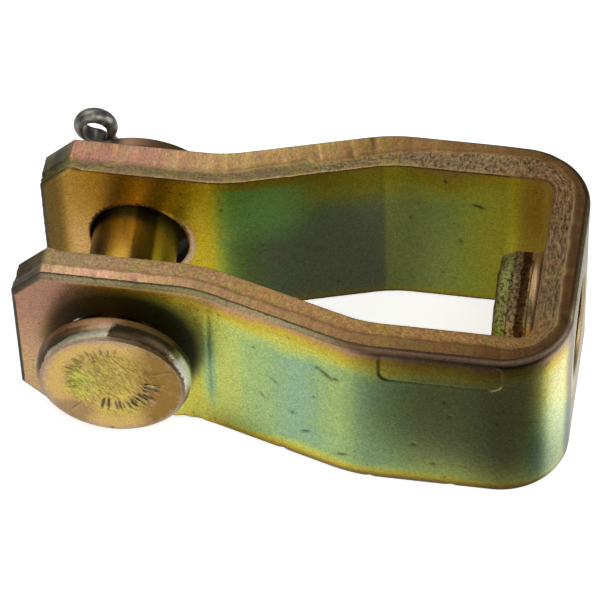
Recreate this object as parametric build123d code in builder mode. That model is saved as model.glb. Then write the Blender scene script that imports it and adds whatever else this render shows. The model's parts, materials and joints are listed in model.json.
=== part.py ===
from build123d import *

import os
from math import atan2, cos, degrees, radians, sin, sqrt, tan

# Clevis rod end of a brake cylinder or linkage: a yoke bent from flat strip, with a threaded collar drawn
# from its base, and the headed pin, washer and split pin that close its jaw.
#
# Millimetres. The origin is on the axis of the two ear holes, midway between the ears. +X runs from the
# ears to the threaded base, +Y from the pin's head to its split pin, and +Z across the strip's width. The
# yoke stands on the lower edge of its strip.

# Strip
strip_width = 32.0
strip_thickness = 6.0
rolled_edge = 1.2               # rounding that the shears leave along the yoke's outer face

# Yoke
jaw_gap = 17.0                  # between the ears' inner faces
base_width = 44.5               # over the base's outer faces
reach = 72.0                    # from the ear holes' axis to the base's outer face
ear_end = 15.7                  # from the ear holes' axis to the ears' ends
ear_corner = 5.0                # cut off each corner of an ear
waist_start = 13.9              # from the ear holes' axis to where the sides begin to spread
waist_angle = 16.8              # each side's slope over the waist, in degrees
waist_radius = 24.0             # of the waist's bends, at the middle of the strip
base_bend_radius = 5.0          # inside the base's two corners, as bent
base_corner_radius = 2.5        # inside the same corners, once they are struck square

# Collar drawn inwards from the base, and its thread
thread_diameter = 16.0
thread_pitch = 1.5
thread_lead_in = 1.0
collar_wall = 3.0               # outside the thread
collar_height = 7.3             # from the base's inner face
collar_root_radius = 1.8
collar_root_clearance = 0.1     # kept between the root's rounding and the base's corners
torn_length = 3.5               # of the collar's thinned, torn end
torn_thinning = 1.0             # taken off the collar's radius at its rim

# Clevis pin
pin_diameter = 14.0
ear_hole_slack = 1.25           # around the pin in the ear holes
front_shift_x = 0.53            # of the pin in each ear's hole, at the ear's outer face, as a share of the slack
rear_shift_x = -0.85
shift_z = -0.4
pin_tip_chamfer = 1.2
head_diameter = 24.5
head_thickness = 4.0
head_bevel_width = 1.25         # off the head's radius
head_bevel_depth = 1.0          # off its thickness
head_float = 2.95               # between the head and the front ear

# Split pin
wire_diameter = 3.0             # of its half-round wire
leg_slit = 0.1                  # between its two legs
split_hole_clearance = 0.15     # around the two legs
split_hole_from_tail = 4.25
eye_inner_diameter = 4.2
eye_height = 8.5                # from the pin's surface to the eye's centre
eye_lean = 27.5                 # of the eye from upright, towards the jaw's mouth, in degrees
neck_radius = 2.4
leg_clearance = 0.8             # between the pin and the bends of the legs
leg_bend_radius = 3.0
leg_splay = 38.0                # of each leg, in degrees
long_tip = 4.5                  # straight length beyond the long leg's bend
short_tip = 3.2

# Washer
washer_diameter = 28.0
washer_thickness = 2.5
washer_edge_radius = 0.3
washer_slack = 0.5              # around the pin in the washer's hole
washer_seat_clearance = 0.05    # between the washer's hole and the top of the pin, where the washer hangs
washer_standoff = 1.75          # between the washer and the rear ear
washer_float = 0.2              # between the washer and the split pin

metric_thread_depth = 1.0825    # of an ISO metric thread, off its diameter, for each millimetre of pitch

os.makedirs("parts", exist_ok=True)

# ---------------------------------------------------------------- yoke

ear_y = (jaw_gap + strip_thickness) / 2
base_y = (base_width - strip_thickness) / 2
base_x = reach - strip_thickness / 2
waist_end = waist_start + (base_y - ear_y) / tan(radians(waist_angle))
base_inner_x = reach - strip_thickness
collar_rim_x = base_inner_x - collar_height
bore_radius = (thread_diameter - metric_thread_depth * thread_pitch) / 2
collar_radius = thread_diameter / 2 + collar_wall
base_middle_radius = base_bend_radius + strip_thickness / 2
outer_face_y = jaw_gap / 2 + strip_thickness
ear_hole_radius = pin_diameter / 2 + ear_hole_slack

with BuildPart() as clevis:
    # the strip, along its middle from one ear round the base to the other
    with BuildLine() as strip_path:
        FilletPolyline(
            (-ear_end, ear_y),
            (waist_start, ear_y),
            (waist_end, base_y),
            (base_x, base_y),
            (base_x, -base_y),
            (waist_end, -base_y),
            (waist_start, -ear_y),
            (-ear_end, -ear_y),
            radius=[waist_radius, waist_radius, base_middle_radius, base_middle_radius, waist_radius, waist_radius],
        )
    strip_start = Plane(origin=strip_path.line @ 0, x_dir=(0, 1, 0), z_dir=strip_path.line % 0)
    with BuildSketch(strip_start) as strip_section:
        Rectangle(strip_thickness, strip_width)
        fillet(strip_section.vertices().group_by(Axis.X)[-1], radius=rolled_edge)
    sweep(path=strip_path.line)

    # the inside of the base's corners, struck sharper than the strip bends
    with BuildSketch(Plane.XY.offset(-strip_width / 2)) as struck_inside:
        with Locations((base_inner_x, 0)):
            Rectangle(base_bend_radius, base_width - 2 * strip_thickness, align=(Align.MAX, Align.CENTER))
        fillet(struck_inside.vertices().group_by(Axis.X)[-1], radius=base_corner_radius)
    extrude(amount=strip_width, mode=Mode.SUBTRACT)

    # the ears' corners and pin holes
    with BuildSketch(Plane.XZ):
        with Locations((-ear_end, strip_width / 2), (-ear_end, -strip_width / 2)):
            Rectangle(ear_corner * sqrt(2), ear_corner * sqrt(2), rotation=45)
    extrude(amount=base_width, both=True, mode=Mode.SUBTRACT)
    with BuildSketch(Plane.XZ):
        Circle(ear_hole_radius)
    extrude(amount=base_width, both=True, mode=Mode.SUBTRACT)

    # the collar: a cylinder that thins to a torn rim
    with BuildSketch(Plane.XY):
        Polygon(
            (base_inner_x, 0),
            (base_inner_x, collar_radius),
            (collar_rim_x + torn_length, collar_radius),
            (collar_rim_x, collar_radius - torn_thinning),
            (collar_rim_x, 0),
            align=None,
        )
    revolve(axis=Axis.X)
    collar_root = clevis.edges().filter_by(GeomType.CIRCLE).sort_by_distance((base_inner_x, collar_radius, 0))[0]
    beside_collar = base_width / 2 - strip_thickness - base_corner_radius - collar_radius
    fillet(collar_root, radius=min(collar_root_radius, beside_collar - collar_root_clearance))

    # the tapped bore, with a lead-in at the base's outer face
    with BuildSketch(Plane.YZ.offset(collar_rim_x)):
        Circle(bore_radius)
    extrude(amount=collar_height + strip_thickness, mode=Mode.SUBTRACT)
    thread_mouth = clevis.edges().filter_by(GeomType.CIRCLE).group_by(Axis.X)[-1]
    chamfer(thread_mouth, length=thread_lead_in)

# ---------------------------------------------------------------- clevis pin

# the pin lies askew in its loose holes: its tail leans towards the jaw's mouth
front_x = front_shift_x * ear_hole_slack
rear_x = rear_shift_x * ear_hole_slack
pin_lean = degrees(atan2(front_x - rear_x, 2 * outer_face_y))
tail_direction = Vector(0, 1, 0).rotate(Axis.Z, pin_lean)
side_direction = Vector(1, 0, 0).rotate(Axis.Z, pin_lean)
pin_middle = Vector((front_x + rear_x) / 2, 0, shift_z * ear_hole_slack)

# distances along the pin, from its middle
rear_ear_at = outer_face_y / cos(radians(pin_lean))
head_underside = -rear_ear_at - head_float
washer_front = rear_ear_at + washer_standoff
washer_back = washer_front + washer_thickness
split_hole_at = washer_back + washer_float + wire_diameter / 2
tail_end = split_hole_at + split_hole_from_tail

pin_radius = pin_diameter / 2
head_radius = head_diameter / 2
split_hole_radius = (wire_diameter + leg_slit) / 2 + split_hole_clearance

with BuildPart() as clevis_pin:
    # half section: local X runs along the pin from its middle, local Y out from its axis
    with BuildSketch(Plane(origin=pin_middle, x_dir=tail_direction, z_dir=side_direction)):
        Polygon(
            (head_underside - head_thickness, 0),
            (head_underside - head_thickness, head_radius - head_bevel_width),
            (head_underside - head_thickness + head_bevel_depth, head_radius),
            (head_underside, head_radius),
            (head_underside, pin_radius),
            (tail_end - pin_tip_chamfer, pin_radius),
            (tail_end, pin_radius - pin_tip_chamfer),
            (tail_end, 0),
            align=None,
        )
    revolve(axis=Axis(pin_middle, tail_direction))

    # the cross hole, along the split pin
    upright = Vector(0, 0, 1).rotate(Axis((0, 0, 0), tail_direction), -eye_lean)
    split_middle = pin_middle + tail_direction * split_hole_at
    with BuildSketch(Plane(origin=split_middle, x_dir=tail_direction, z_dir=upright)):
        Circle(split_hole_radius)
    extrude(amount=pin_diameter, both=True, mode=Mode.SUBTRACT)

# ---------------------------------------------------------------- split pin

# the split pin's plane is square to the clevis pin: local Y runs up to the eye, local X across the legs
split_plane = Plane(origin=split_middle, x_dir=upright.cross(-tail_direction), z_dir=-tail_direction)
wire_radius = wire_diameter / 2
leg_x = leg_slit / 2                        # of each leg's flat inner face
eye_radius = eye_inner_diameter / 2
eye_y = pin_radius + eye_height
neck_x = leg_x + neck_radius                # of the neck bends' centres
neck_to_eye = sqrt((neck_radius + eye_radius) ** 2 - neck_x ** 2)
neck_y = eye_y - neck_to_eye
eye_share = eye_radius / (neck_radius + eye_radius)
eye_side = neck_x * eye_share               # where the neck bends run into the eye
eye_foot = eye_y - neck_to_eye * eye_share
leg_bend_y = -(pin_radius + leg_clearance)
splay = radians(leg_splay)
bend_x = leg_x + leg_bend_radius * (1 - cos(splay))         # where the legs' bends end
bend_y = leg_bend_y - leg_bend_radius * sin(splay)


def tip(side, length):
    """The end of the leg on the given side, for a straight tip of the given length."""
    return (side * (bend_x + length * sin(splay)), bend_y - length * cos(splay))


with BuildPart() as split_pin:
    # the wire's flat inner face, from one tip up its leg, round the eye and down to the other tip
    with BuildLine(split_plane) as wire_path:
        Line(tip(-1, long_tip), (-bend_x, bend_y))
        TangentArc((-leg_x, leg_bend_y), (-bend_x, bend_y), tangent=-upright)
        Line((-leg_x, leg_bend_y), (-leg_x, neck_y))
        TangentArc((-leg_x, neck_y), (-eye_side, eye_foot), tangent=upright)
        ThreePointArc((-eye_side, eye_foot), (0, eye_y + eye_radius), (eye_side, eye_foot))
        TangentArc((leg_x, neck_y), (eye_side, eye_foot), tangent=upright)
        Line((leg_x, neck_y), (leg_x, leg_bend_y))
        TangentArc((leg_x, leg_bend_y), (bend_x, bend_y), tangent=-upright)
        Line((bend_x, bend_y), tip(1, short_tip))
    wire = wire_path.wires()[0]
    wire_start = Plane(origin=wire @ 0, x_dir=tail_direction, z_dir=wire % 0)
    with BuildSketch(wire_start) as wire_section:
        Circle(wire_radius)
        Rectangle(wire_diameter, wire_diameter, align=(Align.CENTER, Align.MAX), mode=Mode.SUBTRACT)
    sweep(path=wire)

# ---------------------------------------------------------------- washer

washer_centre = pin_middle + tail_direction * washer_front - Vector(0, 0, washer_slack - washer_seat_clearance)

with BuildPart() as washer:
    with BuildSketch(Plane(origin=washer_centre, x_dir=side_direction, z_dir=tail_direction)):
        Circle(washer_diameter / 2)
        Circle(pin_radius + washer_slack, mode=Mode.SUBTRACT)
    extrude(amount=washer_thickness)
    fillet(washer.edges().filter_by(GeomType.CIRCLE), radius=washer_edge_radius)

# ---------------------------------------------------------------- export

clevis.part.label = "clevis"
clevis_pin.part.label = "clevis_pin"
split_pin.part.label = "split_pin"
washer.part.label = "washer"

export_step(clevis.part, "parts/clevis.step")
export_step(clevis_pin.part, "parts/clevis_pin.step")
export_step(split_pin.part, "parts/split_pin.step")
export_step(washer.part, "parts/washer.step")
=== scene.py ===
"""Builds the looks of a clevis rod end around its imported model: the bent yoke, the clevis pin, the split pin
that keeps it in, the washer between them, and the stage they stand on."""

import json
from math import asin, atan2, ceil, cos, pi, radians, sin, sqrt, tan

import bmesh
import bpy
import numpy as np
from bpy.props import FloatProperty, FloatVectorProperty, IntProperty, PointerProperty
from mathutils import Matrix, Vector, geometry, noise


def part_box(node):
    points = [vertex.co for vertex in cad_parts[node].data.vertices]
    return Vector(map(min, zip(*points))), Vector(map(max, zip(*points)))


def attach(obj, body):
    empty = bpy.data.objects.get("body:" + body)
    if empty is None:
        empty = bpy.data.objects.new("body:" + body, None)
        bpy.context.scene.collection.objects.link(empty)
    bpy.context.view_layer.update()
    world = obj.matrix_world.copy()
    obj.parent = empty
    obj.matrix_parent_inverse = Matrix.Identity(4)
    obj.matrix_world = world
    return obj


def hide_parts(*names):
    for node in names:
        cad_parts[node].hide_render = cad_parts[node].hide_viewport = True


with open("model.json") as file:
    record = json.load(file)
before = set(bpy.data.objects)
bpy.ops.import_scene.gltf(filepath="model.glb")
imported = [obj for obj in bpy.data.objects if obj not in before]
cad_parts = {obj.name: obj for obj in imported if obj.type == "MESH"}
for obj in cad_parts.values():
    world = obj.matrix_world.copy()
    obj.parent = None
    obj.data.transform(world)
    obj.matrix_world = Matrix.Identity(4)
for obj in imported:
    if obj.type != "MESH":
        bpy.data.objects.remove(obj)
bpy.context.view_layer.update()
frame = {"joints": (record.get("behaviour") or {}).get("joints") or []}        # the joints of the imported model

bl_info = {
    "name": "Clevis rod end",
    "version": (1, 0, 0),
    "blender": (4, 5, 0),
    "location": "3D View > Sidebar > Rod end",
    "description": "Builds a zinc-plated clevis rod end with its pin, split pin and washer",
    "category": "Object",
}

MM = 0.001                                  # the shapes below are worked out in millimetres
YOKE_LOW, YOKE_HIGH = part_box("clevis")
PIN_JOINT, WASHER_JOINT = frame["joints"]
PIN_AXIS = Vector(PIN_JOINT["axis"])        # from the pin's head to its tail
PIN_MIDDLE = Vector(PIN_JOINT["pos_m"]) / MM
PIN_TURN = atan2(-PIN_AXIS.x, PIN_AXIS.y)   # how far the pin is turned from Y, about the upright
WASHER_SEAT = Vector(WASHER_JOINT["pos_m"]) / MM


# ---------------------------------------------------------------- sizes and colours that a user would change


def amount(name, description, default):
    """A property for a number that isn't negative."""
    return FloatProperty(name=name, description=description, default=default, min=0)


def length(name, description, default):
    """A size property, in metres, from a size in millimetres."""
    return FloatProperty(
        name=name, description=description, default=default * MM, min=0, unit="LENGTH", precision=5
    )


def angle(name, description, default):
    """An angle property, from degrees."""
    return FloatProperty(name=name, description=description, default=radians(default), unit="ROTATION")


def colour(name, description, default):
    """A colour property."""
    return FloatVectorProperty(
        name=name, description=description, default=default, size=3, min=0, max=1, subtype="COLOR"
    )


class YokeSizes(bpy.types.PropertyGroup):
    """Sizes of the bent strip."""

    thickness: length("Strip thickness", "Thickness of the flat strip", 6)
    width: length("Strip width", "Width of the flat strip", (YOKE_HIGH.z - YOKE_LOW.z) / MM)
    reach: length("Reach", "From the ear holes' axis to the base's outer face", YOKE_HIGH.x / MM)
    ear_end: length("Ear end", "From the ear holes' axis to the ears' ends", -YOKE_LOW.x / MM)
    base_width: length("Base width", "Width over the base", (YOKE_HIGH.y - YOKE_LOW.y) / MM)
    jaw_gap: length("Jaw gap", "Clear width between the ears", 17)
    ear_corner: length("Ear corner", "Size of the ears' cut corners", 5)
    waist_start: length("Waist start", "From the ear holes' axis to where the waist starts to open", 13.9)
    waist_angle: angle("Waist angle", "Slope of the waist", 16.8)
    waist_radius: length("Waist radius", "Radius of the waist's bends, at the strip's middle", 24)
    base_radius: length("Base bend radius", "Radius of the base's bends, at the strip's middle", 8)
    struck_corner: length("Struck corner", "Radius struck inside the base's bends", 2.5)
    ear_hole: length("Ear hole", "Radius of the ear holes", 8.25)
    rolled_edge: length("Rolled edge", "Radius that the shears leave along the outer face", 0.9)
    torn_depth: length("Torn depth", "How far the torn part of a sheared edge stands back", 0.22)
    minor_radius: length("Thread minor radius", "Radius of the tapped bore inside its crests", 7.188)
    thread_depth: length("Thread depth", "Depth of the thread's grooves", 0.8)
    thread_pitch: length("Thread pitch", "Distance from one groove to the next", 1.5)
    lead_in: length("Lead-in", "Chamfer at the thread's mouth", 1)
    collar_radius: length("Collar radius", "Outer radius of the collar round the bore", 11)
    collar_height: length("Collar height", "Height of the collar above the base's inner face", 7.3)
    collar_root: length("Collar root", "Radius where the collar meets the base", 1.8)
    panel_depth: length("Panel depth", "Depth of the bare stamped panel", 0.22)
    seed: IntProperty(name="Seed", description="Chooses the dents and tears", default=4, min=0)


class PinSizes(bpy.types.PropertyGroup):
    """Sizes of the clevis pin, along its axis from the middle of the jaw."""

    radius: length("Radius", "Radius of the shank", 7)
    head_radius: length("Head radius", "Radius of the head", 12.25)
    head_underside: length("Head underside", "From the middle to the head's underside", 17.476)
    head_thickness: length("Head thickness", "Thickness of the head", 4)
    bevel_width: length("Bevel width", "Width of the bevel round the head's face", 1.25)
    bevel_depth: length("Bevel depth", "Depth of the bevel round the head's face", 1)
    tail_end: length("Tail end", "From the middle to the tail's end", 24.726)
    tail_chamfer: length("Tail chamfer", "Chamfer at the tail's end", 1.2)
    cross_hole: length("Cross hole", "Radius of the hole for the split pin", 1.7)
    cross_hole_at: length("Cross hole place", "From the middle to the cross hole", 20.476)
    seed: IntProperty(name="Seed", description="Chooses the strokes on the head", default=7, min=0)


class SplitPinSizes(bpy.types.PropertyGroup):
    """Sizes of the split pin."""

    wire_diameter: length("Wire diameter", "Diameter of the two half-round legs together", 3)
    slit: length("Slit", "Gap between the two legs", 0.1)
    lean: angle("Lean", "How far the eye leans from upright", 27.5)
    eye_radius: length("Eye radius", "Inner radius of the eye", 2.1)
    eye_height: length("Eye height", "Height of the eye's middle above the clevis pin", 8.5)
    neck_radius: length("Neck radius", "Radius of the bends below the eye", 2.4)
    leg_clearance: length("Leg clearance", "From the clevis pin to where the legs start to bend", 0.8)
    leg_radius: length("Leg bend radius", "Radius of the legs' bends", 3)
    splay: angle("Splay", "Angle to which each leg is bent", 38)
    long_tip: length("Long tip", "Straight length of the longer leg past its bend", 4.5)
    short_tip: length("Short tip", "Straight length of the shorter leg past its bend", 3.2)


class WasherSizes(bpy.types.PropertyGroup):
    """Sizes of the washer."""

    outer_radius: length("Outer radius", "Outer radius of the washer", 14)
    bore_radius: length("Bore radius", "Radius of the washer's hole", 7.5)
    thickness: length("Thickness", "Thickness of the washer", 2.5)
    edge_radius: length("Edge radius", "Radius of the washer's edges", 0.3)


class StageSettings(bpy.types.PropertyGroup):
    """The camera, the lights and the floor."""

    azimuth: angle("Azimuth", "Where the camera stands round the object", 10.65)
    elevation: angle("Elevation", "How high the camera stands", 50.07)
    roll: angle("Roll", "How far the camera is turned about its own line of sight", -2.21)
    distance: length("Distance", "From the camera to the point that it looks at", 634.66)
    lens: FloatProperty(name="Lens", description="Focal length, in millimetres", default=240, min=1)
    floor_colour: colour("Floor", "Colour of the floor", (0.9, 0.9, 0.9))
    bright_sky: amount("Bright sky", "Strength of the light from behind", 0.40)
    dim_sky: amount("Dim sky", "Strength of the light from the other sides", 0.09)
    floor_glow: amount("Floor glow", "How much the floor shines for the camera", 0.70)


GROUPS = {
    "rod_end_yoke": YokeSizes,
    "rod_end_pin": PinSizes,
    "rod_end_split_pin": SplitPinSizes,
    "rod_end_washer": WasherSizes,
    "rod_end_stage": StageSettings,
}


# ---------------------------------------------------------------- closed shells


def in_mm(group):
    """A property group's lengths in millimetres and its other values as they are, by name."""
    lengths = {p.identifier for p in group.bl_rna.properties if getattr(p, "unit", "") == "LENGTH"}
    names = [p.identifier for p in group.bl_rna.properties if p.identifier not in ("rna_type", "name")]
    return {n: getattr(group, n) / MM if n in lengths else getattr(group, n) for n in names}


class Shell:
    """A closed surface in the making. Each point has its direction into the metal, and says how it was
    formed: whether it was cut, and whether it tore as it was cut."""

    def __init__(self):
        self.parts, self.faces, self.count = [], [], 0

    def add(self, points, inwards, cut=0.0, torn=0.0):
        """Adds points and returns their numbers."""
        points = np.asarray(points, float)
        formed = np.broadcast_to((cut, torn), (len(points), 2))
        self.parts.append(np.hstack([points, np.broadcast_to(inwards, points.shape), formed]))
        self.count += len(points)
        return np.arange(self.count - len(points), self.count)

    def band(self, first, second):
        """Joins two rings of as many points by four-sided faces."""
        self.faces += np.stack([first, np.roll(first, -1), np.roll(second, -1), second], 1).tolist()

    def bands(self, rings):
        """Joins each ring to the next."""
        for first, second in zip(rings, rings[1:]):
            self.band(first, second)

    def skin(self, rings, clearance, spacing, fine, lift, inwards):
        """Fills the flat between rings with triangles. clearance(plan) is how far a point lies inside it.
        spacing is the size of the triangles, and fine(plan) is 0, 1 or 2 where they are as large, half or
        a quarter of that. lift takes points from the plan's two directions into space."""
        known = np.vstack(self.parts)
        ring_points = np.vstack([lift.flatten(known[ring, :3]) for ring in rings])
        low, high = ring_points.min(0), ring_points.max(0)
        step = spacing / 4
        counts = np.ceil((high - low) / step).astype(int)
        i, j = np.meshgrid(np.arange(1, counts[0]), np.arange(1, counts[1]), indexing="ij")
        plan = np.stack([low[0] + i * step, low[1] + j * step], -1).reshape(-1, 2)
        coarse = np.maximum(*(np.where(k % 4 == 0, 0, np.where(k % 2 == 0, 1, 2)).ravel() for k in (i, j)))
        level = fine(plan)
        wanted = (coarse <= level) & (clearance(plan) > 0.5 * spacing / 2**level)
        plan = plan[wanted]
        edges, start = [], 0
        for ring in rings:
            edges += [(start + k, start + (k + 1) % len(ring)) for k in range(len(ring))]
            start += len(ring)
        every = np.vstack([ring_points, plan])
        made = geometry.delaunay_2d_cdt([Vector(p) for p in every], edges, [], 0, 1e-7, False)
        if len(made[0]) != len(every):
            raise RuntimeError("the plan's points are too close together")
        numbers = np.concatenate([*rings, self.add(lift.raise_up(plan), inwards)])
        triangles = np.array([f for f in made[2] if len(f) == 3])
        inside = clearance(every[triangles].mean(1)) > 0
        self.faces += numbers[triangles[inside]].tolist()

    def finished(self):
        """The points, their directions into the metal, and the cut and torn values, each as an array."""
        every = np.vstack(self.parts)
        return every[:, :3], every[:, 3:6], every[:, 6], every[:, 7]


class Lift:
    """Takes points between space and a plan, along one axis at one height."""

    def __init__(self, axis, height):
        self.axis, self.height = axis, height
        self.kept = [k for k in range(3) if k != axis]

    def flatten(self, points):
        return points[:, self.kept]

    def raise_up(self, plan):
        return np.insert(plan, self.axis, self.height, axis=1)


def wander(points, scale, seed=0):
    """Smooth noise from -1 to 1 at each point. scale is waves per millimetre, one number or one per axis."""
    shifted = points * np.asarray(scale) + 17.3 * (seed + 1)
    return np.array([noise.noise(p) for p in shifted.tolist()])


def smooth_step(low, high, value):
    """0 below low, 1 above high and a smooth slope between."""
    t = np.clip((value - low) / (high - low), 0, 1)
    return t * t * (3 - 2 * t)


def in_scene(name, data):
    """An object made of its data, in the scene."""
    made = bpy.data.objects.new(name, data)
    bpy.context.scene.collection.objects.link(made)
    return made


def as_modified(carrier):
    """The plain mesh that an object's modifiers make of it. The object is removed."""
    graph = bpy.context.evaluated_depsgraph_get()
    ready = carrier.evaluated_get(graph)
    plain_mesh = bpy.data.meshes.new_from_object(ready, preserve_all_data_layers=True, depsgraph=graph)
    bpy.data.objects.remove(carrier)
    return plain_mesh


def new_piece(name, mesh, material, body, node):
    """Puts a finished mesh, in metres, into the scene as a piece that rides on a body in place of a node."""
    mesh.materials.clear()
    mesh.materials.append(material)
    mesh.shade_smooth()
    piece = in_scene(name, mesh)
    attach(piece, body)
    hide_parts(node)


def mesh_of(name, points, faces, fields):
    """A mesh with outward faces, from points in millimetres. fields are named values of its points."""
    mesh = bpy.data.meshes.new(name)
    mesh.from_pydata((points * MM).tolist(), [], faces)
    for field, values in fields.items():
        kind, key = ("FLOAT_VECTOR", "vector") if values.ndim == 2 else ("FLOAT", "value")
        mesh.attributes.new(field, kind, "POINT").data.foreach_set(key, values.astype(np.float32).ravel())
    work = bmesh.new()
    work.from_mesh(mesh)
    bmesh.ops.remove_doubles(work, verts=work.verts, dist=1e-7)
    bmesh.ops.dissolve_degenerate(work, edges=work.edges, dist=1e-7)
    bmesh.ops.recalc_face_normals(work, faces=work.faces)
    work.to_mesh(mesh)
    work.free()
    return mesh


def through_nodes(tree, data, inputs):
    """The plain mesh that a node tree makes of a mesh or a curve. inputs are the tree's named values."""
    carrier = in_scene("carrier", data)
    modifier = carrier.modifiers.new("Nodes", "NODES")
    modifier.node_group = tree
    for item in tree.interface.items_tree:
        if item.item_type == "SOCKET" and item.in_out == "INPUT" and item.name in inputs:
            modifier[item.identifier] = inputs[item.name]
    return as_modified(carrier)


def poly_curve(name, points):
    """A curve of straight pieces through points in millimetres."""
    line = bpy.data.curves.new(name, "CURVE")
    line.dimensions = "3D"
    spline = line.splines.new("POLY")
    spline.points.add(len(points) - 1)
    spline.points.foreach_set("co", np.hstack([np.array(points) * MM, np.ones((len(points), 1))]).ravel())
    return line


# ---------------------------------------------------------------- nodes


class Result:
    """What one output of a node gives. Arithmetic on it adds Math nodes."""

    def __init__(self, wiring, socket):
        self.wiring, self.socket = wiring, socket

    def __add__(self, other):
        return self.wiring.math("ADD", self, other)

    def __sub__(self, other):
        return self.wiring.math("SUBTRACT", self, other)

    def __rsub__(self, other):
        return self.wiring.math("SUBTRACT", other, self)

    def __mul__(self, other):
        return self.wiring.math("MULTIPLY", self, other)

    def __truediv__(self, other):
        return self.wiring.math("DIVIDE", self, other)

    def __abs__(self):
        return self.wiring.math("ABSOLUTE", self)

    __radd__, __rmul__ = __add__, __mul__


class Wiring:
    """Adds nodes to a tree, each with its inputs set or joined in one call."""

    def __init__(self, tree):
        self.tree = tree

    def put(self, socket, value):
        """Joins a result to a socket, or sets the socket to a value. None leaves it as it is."""
        if isinstance(value, Result):
            self.tree.links.new(value.socket, socket)
        elif value is not None:
            socket.default_value = value

    def add(self, kind, *values, **named):
        """A new node. Values go to inputs in order, capitalised names to inputs, and others to settings."""
        made = self.tree.nodes.new(kind)
        inputs = dict(enumerate(values))
        for name, value in named.items():
            if name[0].isupper():
                inputs[name.replace("_", " ")] = value
            else:
                setattr(made, name, value)
        for name, value in inputs.items():
            self.put(made.inputs[name], value)
        return made

    def node(self, kind, *values, result=0, **named):
        """A new node's result, by its name or number, or a list of results where result is a tuple."""
        outputs = self.add(kind, *values, **named).outputs
        if isinstance(result, tuple):
            return [Result(self, outputs[one]) for one in result]
        return Result(self, outputs[result])

    def math(self, operation, *values, clamp=False):
        """A Math node's result."""
        return self.node("ShaderNodeMath", *values, operation=operation, use_clamp=clamp)

    def vector(self, operation, *values, result=0):
        """A Vector Math node's result."""
        return self.node("ShaderNodeVectorMath", *values, operation=operation, result=result)

    def scaled(self, vector, factor):
        """A vector made longer or a colour made lighter by a factor."""
        return self.node("ShaderNodeVectorMath", vector, Scale=factor, operation="SCALE")

    def parts(self, vector):
        """A vector's three parts."""
        return self.node("ShaderNodeSeparateXYZ", vector, result=(0, 1, 2))

    def away(self, first, second):
        """How far a place lies from a middle, by its distances in two directions."""
        return self.math("SQRT", first * first + second * second)

    def degrees(self, first, second):
        """The angle whose tangent is first over second."""
        return self.math("ARCTAN2", first, second) * (180 / pi)

    def span(self, value, low, high, to_low=0.0, to_high=1.0):
        """value taken smoothly from one range to another, and held at its ends."""
        ends = (low, high, to_low, to_high)
        return self.node("ShaderNodeMapRange", value, *ends, interpolation_type="SMOOTHSTEP")

    def mix(self, share, first, second, blend="MIX"):
        """Two colours mixed."""
        colours = [shade if isinstance(shade, Result) else (*shade, 1) for shade in (first, second)]
        inputs = [share, *[None] * 5, *colours]      # five inputs of a Mix node are for numbers and vectors
        return self.node("ShaderNodeMix", *inputs, data_type="RGBA", blend_type=blend, result=2)

    def layered(self, base, *layers):
        """A colour with others laid over it in turn. layers are pairs of a share and a colour."""
        for share, shade in layers:
            base = self.mix(share, base, shade)
        return base

    def ramp(self, value, stops):
        """A colour ramp's result. stops are pairs of a place and a colour or a number."""
        made = self.add("ShaderNodeValToRGB", value)
        made.color_ramp.interpolation = "EASE"
        while len(made.color_ramp.elements) < len(stops):
            made.color_ramp.elements.new(0.5)
        for element, (place, shade) in zip(made.color_ramp.elements, stops):
            element.position = place
            element.color = (*shade, 1) if hasattr(shade, "__len__") else (shade, shade, shade, 1)
        return Result(self, made.outputs["Color"])

    def ramp_over(self, half, value, stops):
        """A ramp's result where value and the stops' places run from -half to half."""
        share = self.node("ShaderNodeMapRange", value, -half, half)
        return self.ramp(share, [((place + half) / (2 * half), shade) for place, shade in stops])

    def noise(self, vector, scale, detail=2.0, roughness=0.5):
        """Noise from 0 to 1. scale is in waves per unit of the vector, one number or one for each axis."""
        if hasattr(scale, "__len__"):
            vector, scale = self.node("ShaderNodeMapping", Vector=vector, Scale=scale), 1.0
        settings = {"Vector": vector, "Scale": scale, "Detail": detail, "Roughness": roughness}
        return self.node("ShaderNodeTexNoise", result="Fac", **settings)

    def attribute(self, name, result="Fac"):
        """A value that the mesh holds for each of its points."""
        return self.node("ShaderNodeAttribute", attribute_name=name, result=result)

    def places(self, origin=(0, 0, 0), turn=0.0):
        """Object coordinates in millimetres, from an origin and turned about the upright."""
        centred = self.node(
            "ShaderNodeMapping", Vector=self.node("ShaderNodeTexCoord", result="Object"),
            Location=[c * MM for c in origin], Rotation=(0, 0, turn), vector_type="TEXTURE",
        )
        return self.scaled(centred, 1 / MM)

    def bump(self, height, strength, distance):
        """The shader's normal for a height. distance is in millimetres."""
        return self.node("ShaderNodeBump", Height=height, Strength=strength, Distance=distance * MM)


def new_group(name, kind, inputs, outputs):
    """An empty node group: its tree, its wiring, what it is given and the sockets of what it gives, both by
    name. inputs are socket types or the default of a number, and outputs are socket types."""
    tree = bpy.data.node_groups.new(name, kind)
    for way, sockets in (("INPUT", inputs), ("OUTPUT", outputs)):
        for socket, value in sockets.items():
            of_number = not isinstance(value, str)
            socket_type = "NodeSocket" + ("Float" if of_number else value)
            made = tree.interface.new_socket(socket, in_out=way, socket_type=socket_type)
            if of_number:
                made.default_value = value
    w = Wiring(tree)
    given = {socket.name: Result(w, socket) for socket in w.add("NodeGroupInput").outputs}
    return tree, w, given, w.add("NodeGroupOutput").inputs


def new_material(name):
    """A material with its wiring and its shader."""
    material = bpy.data.materials.new(name)
    material.use_nodes = True
    return material, Wiring(material.node_tree), material.node_tree.nodes["Principled BSDF"]


def join(w, node, **inputs):
    """Joins results to a node's inputs, or sets them."""
    for name, value in inputs.items():
        w.put(node.inputs[name.replace("_", " ")], value)


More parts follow.
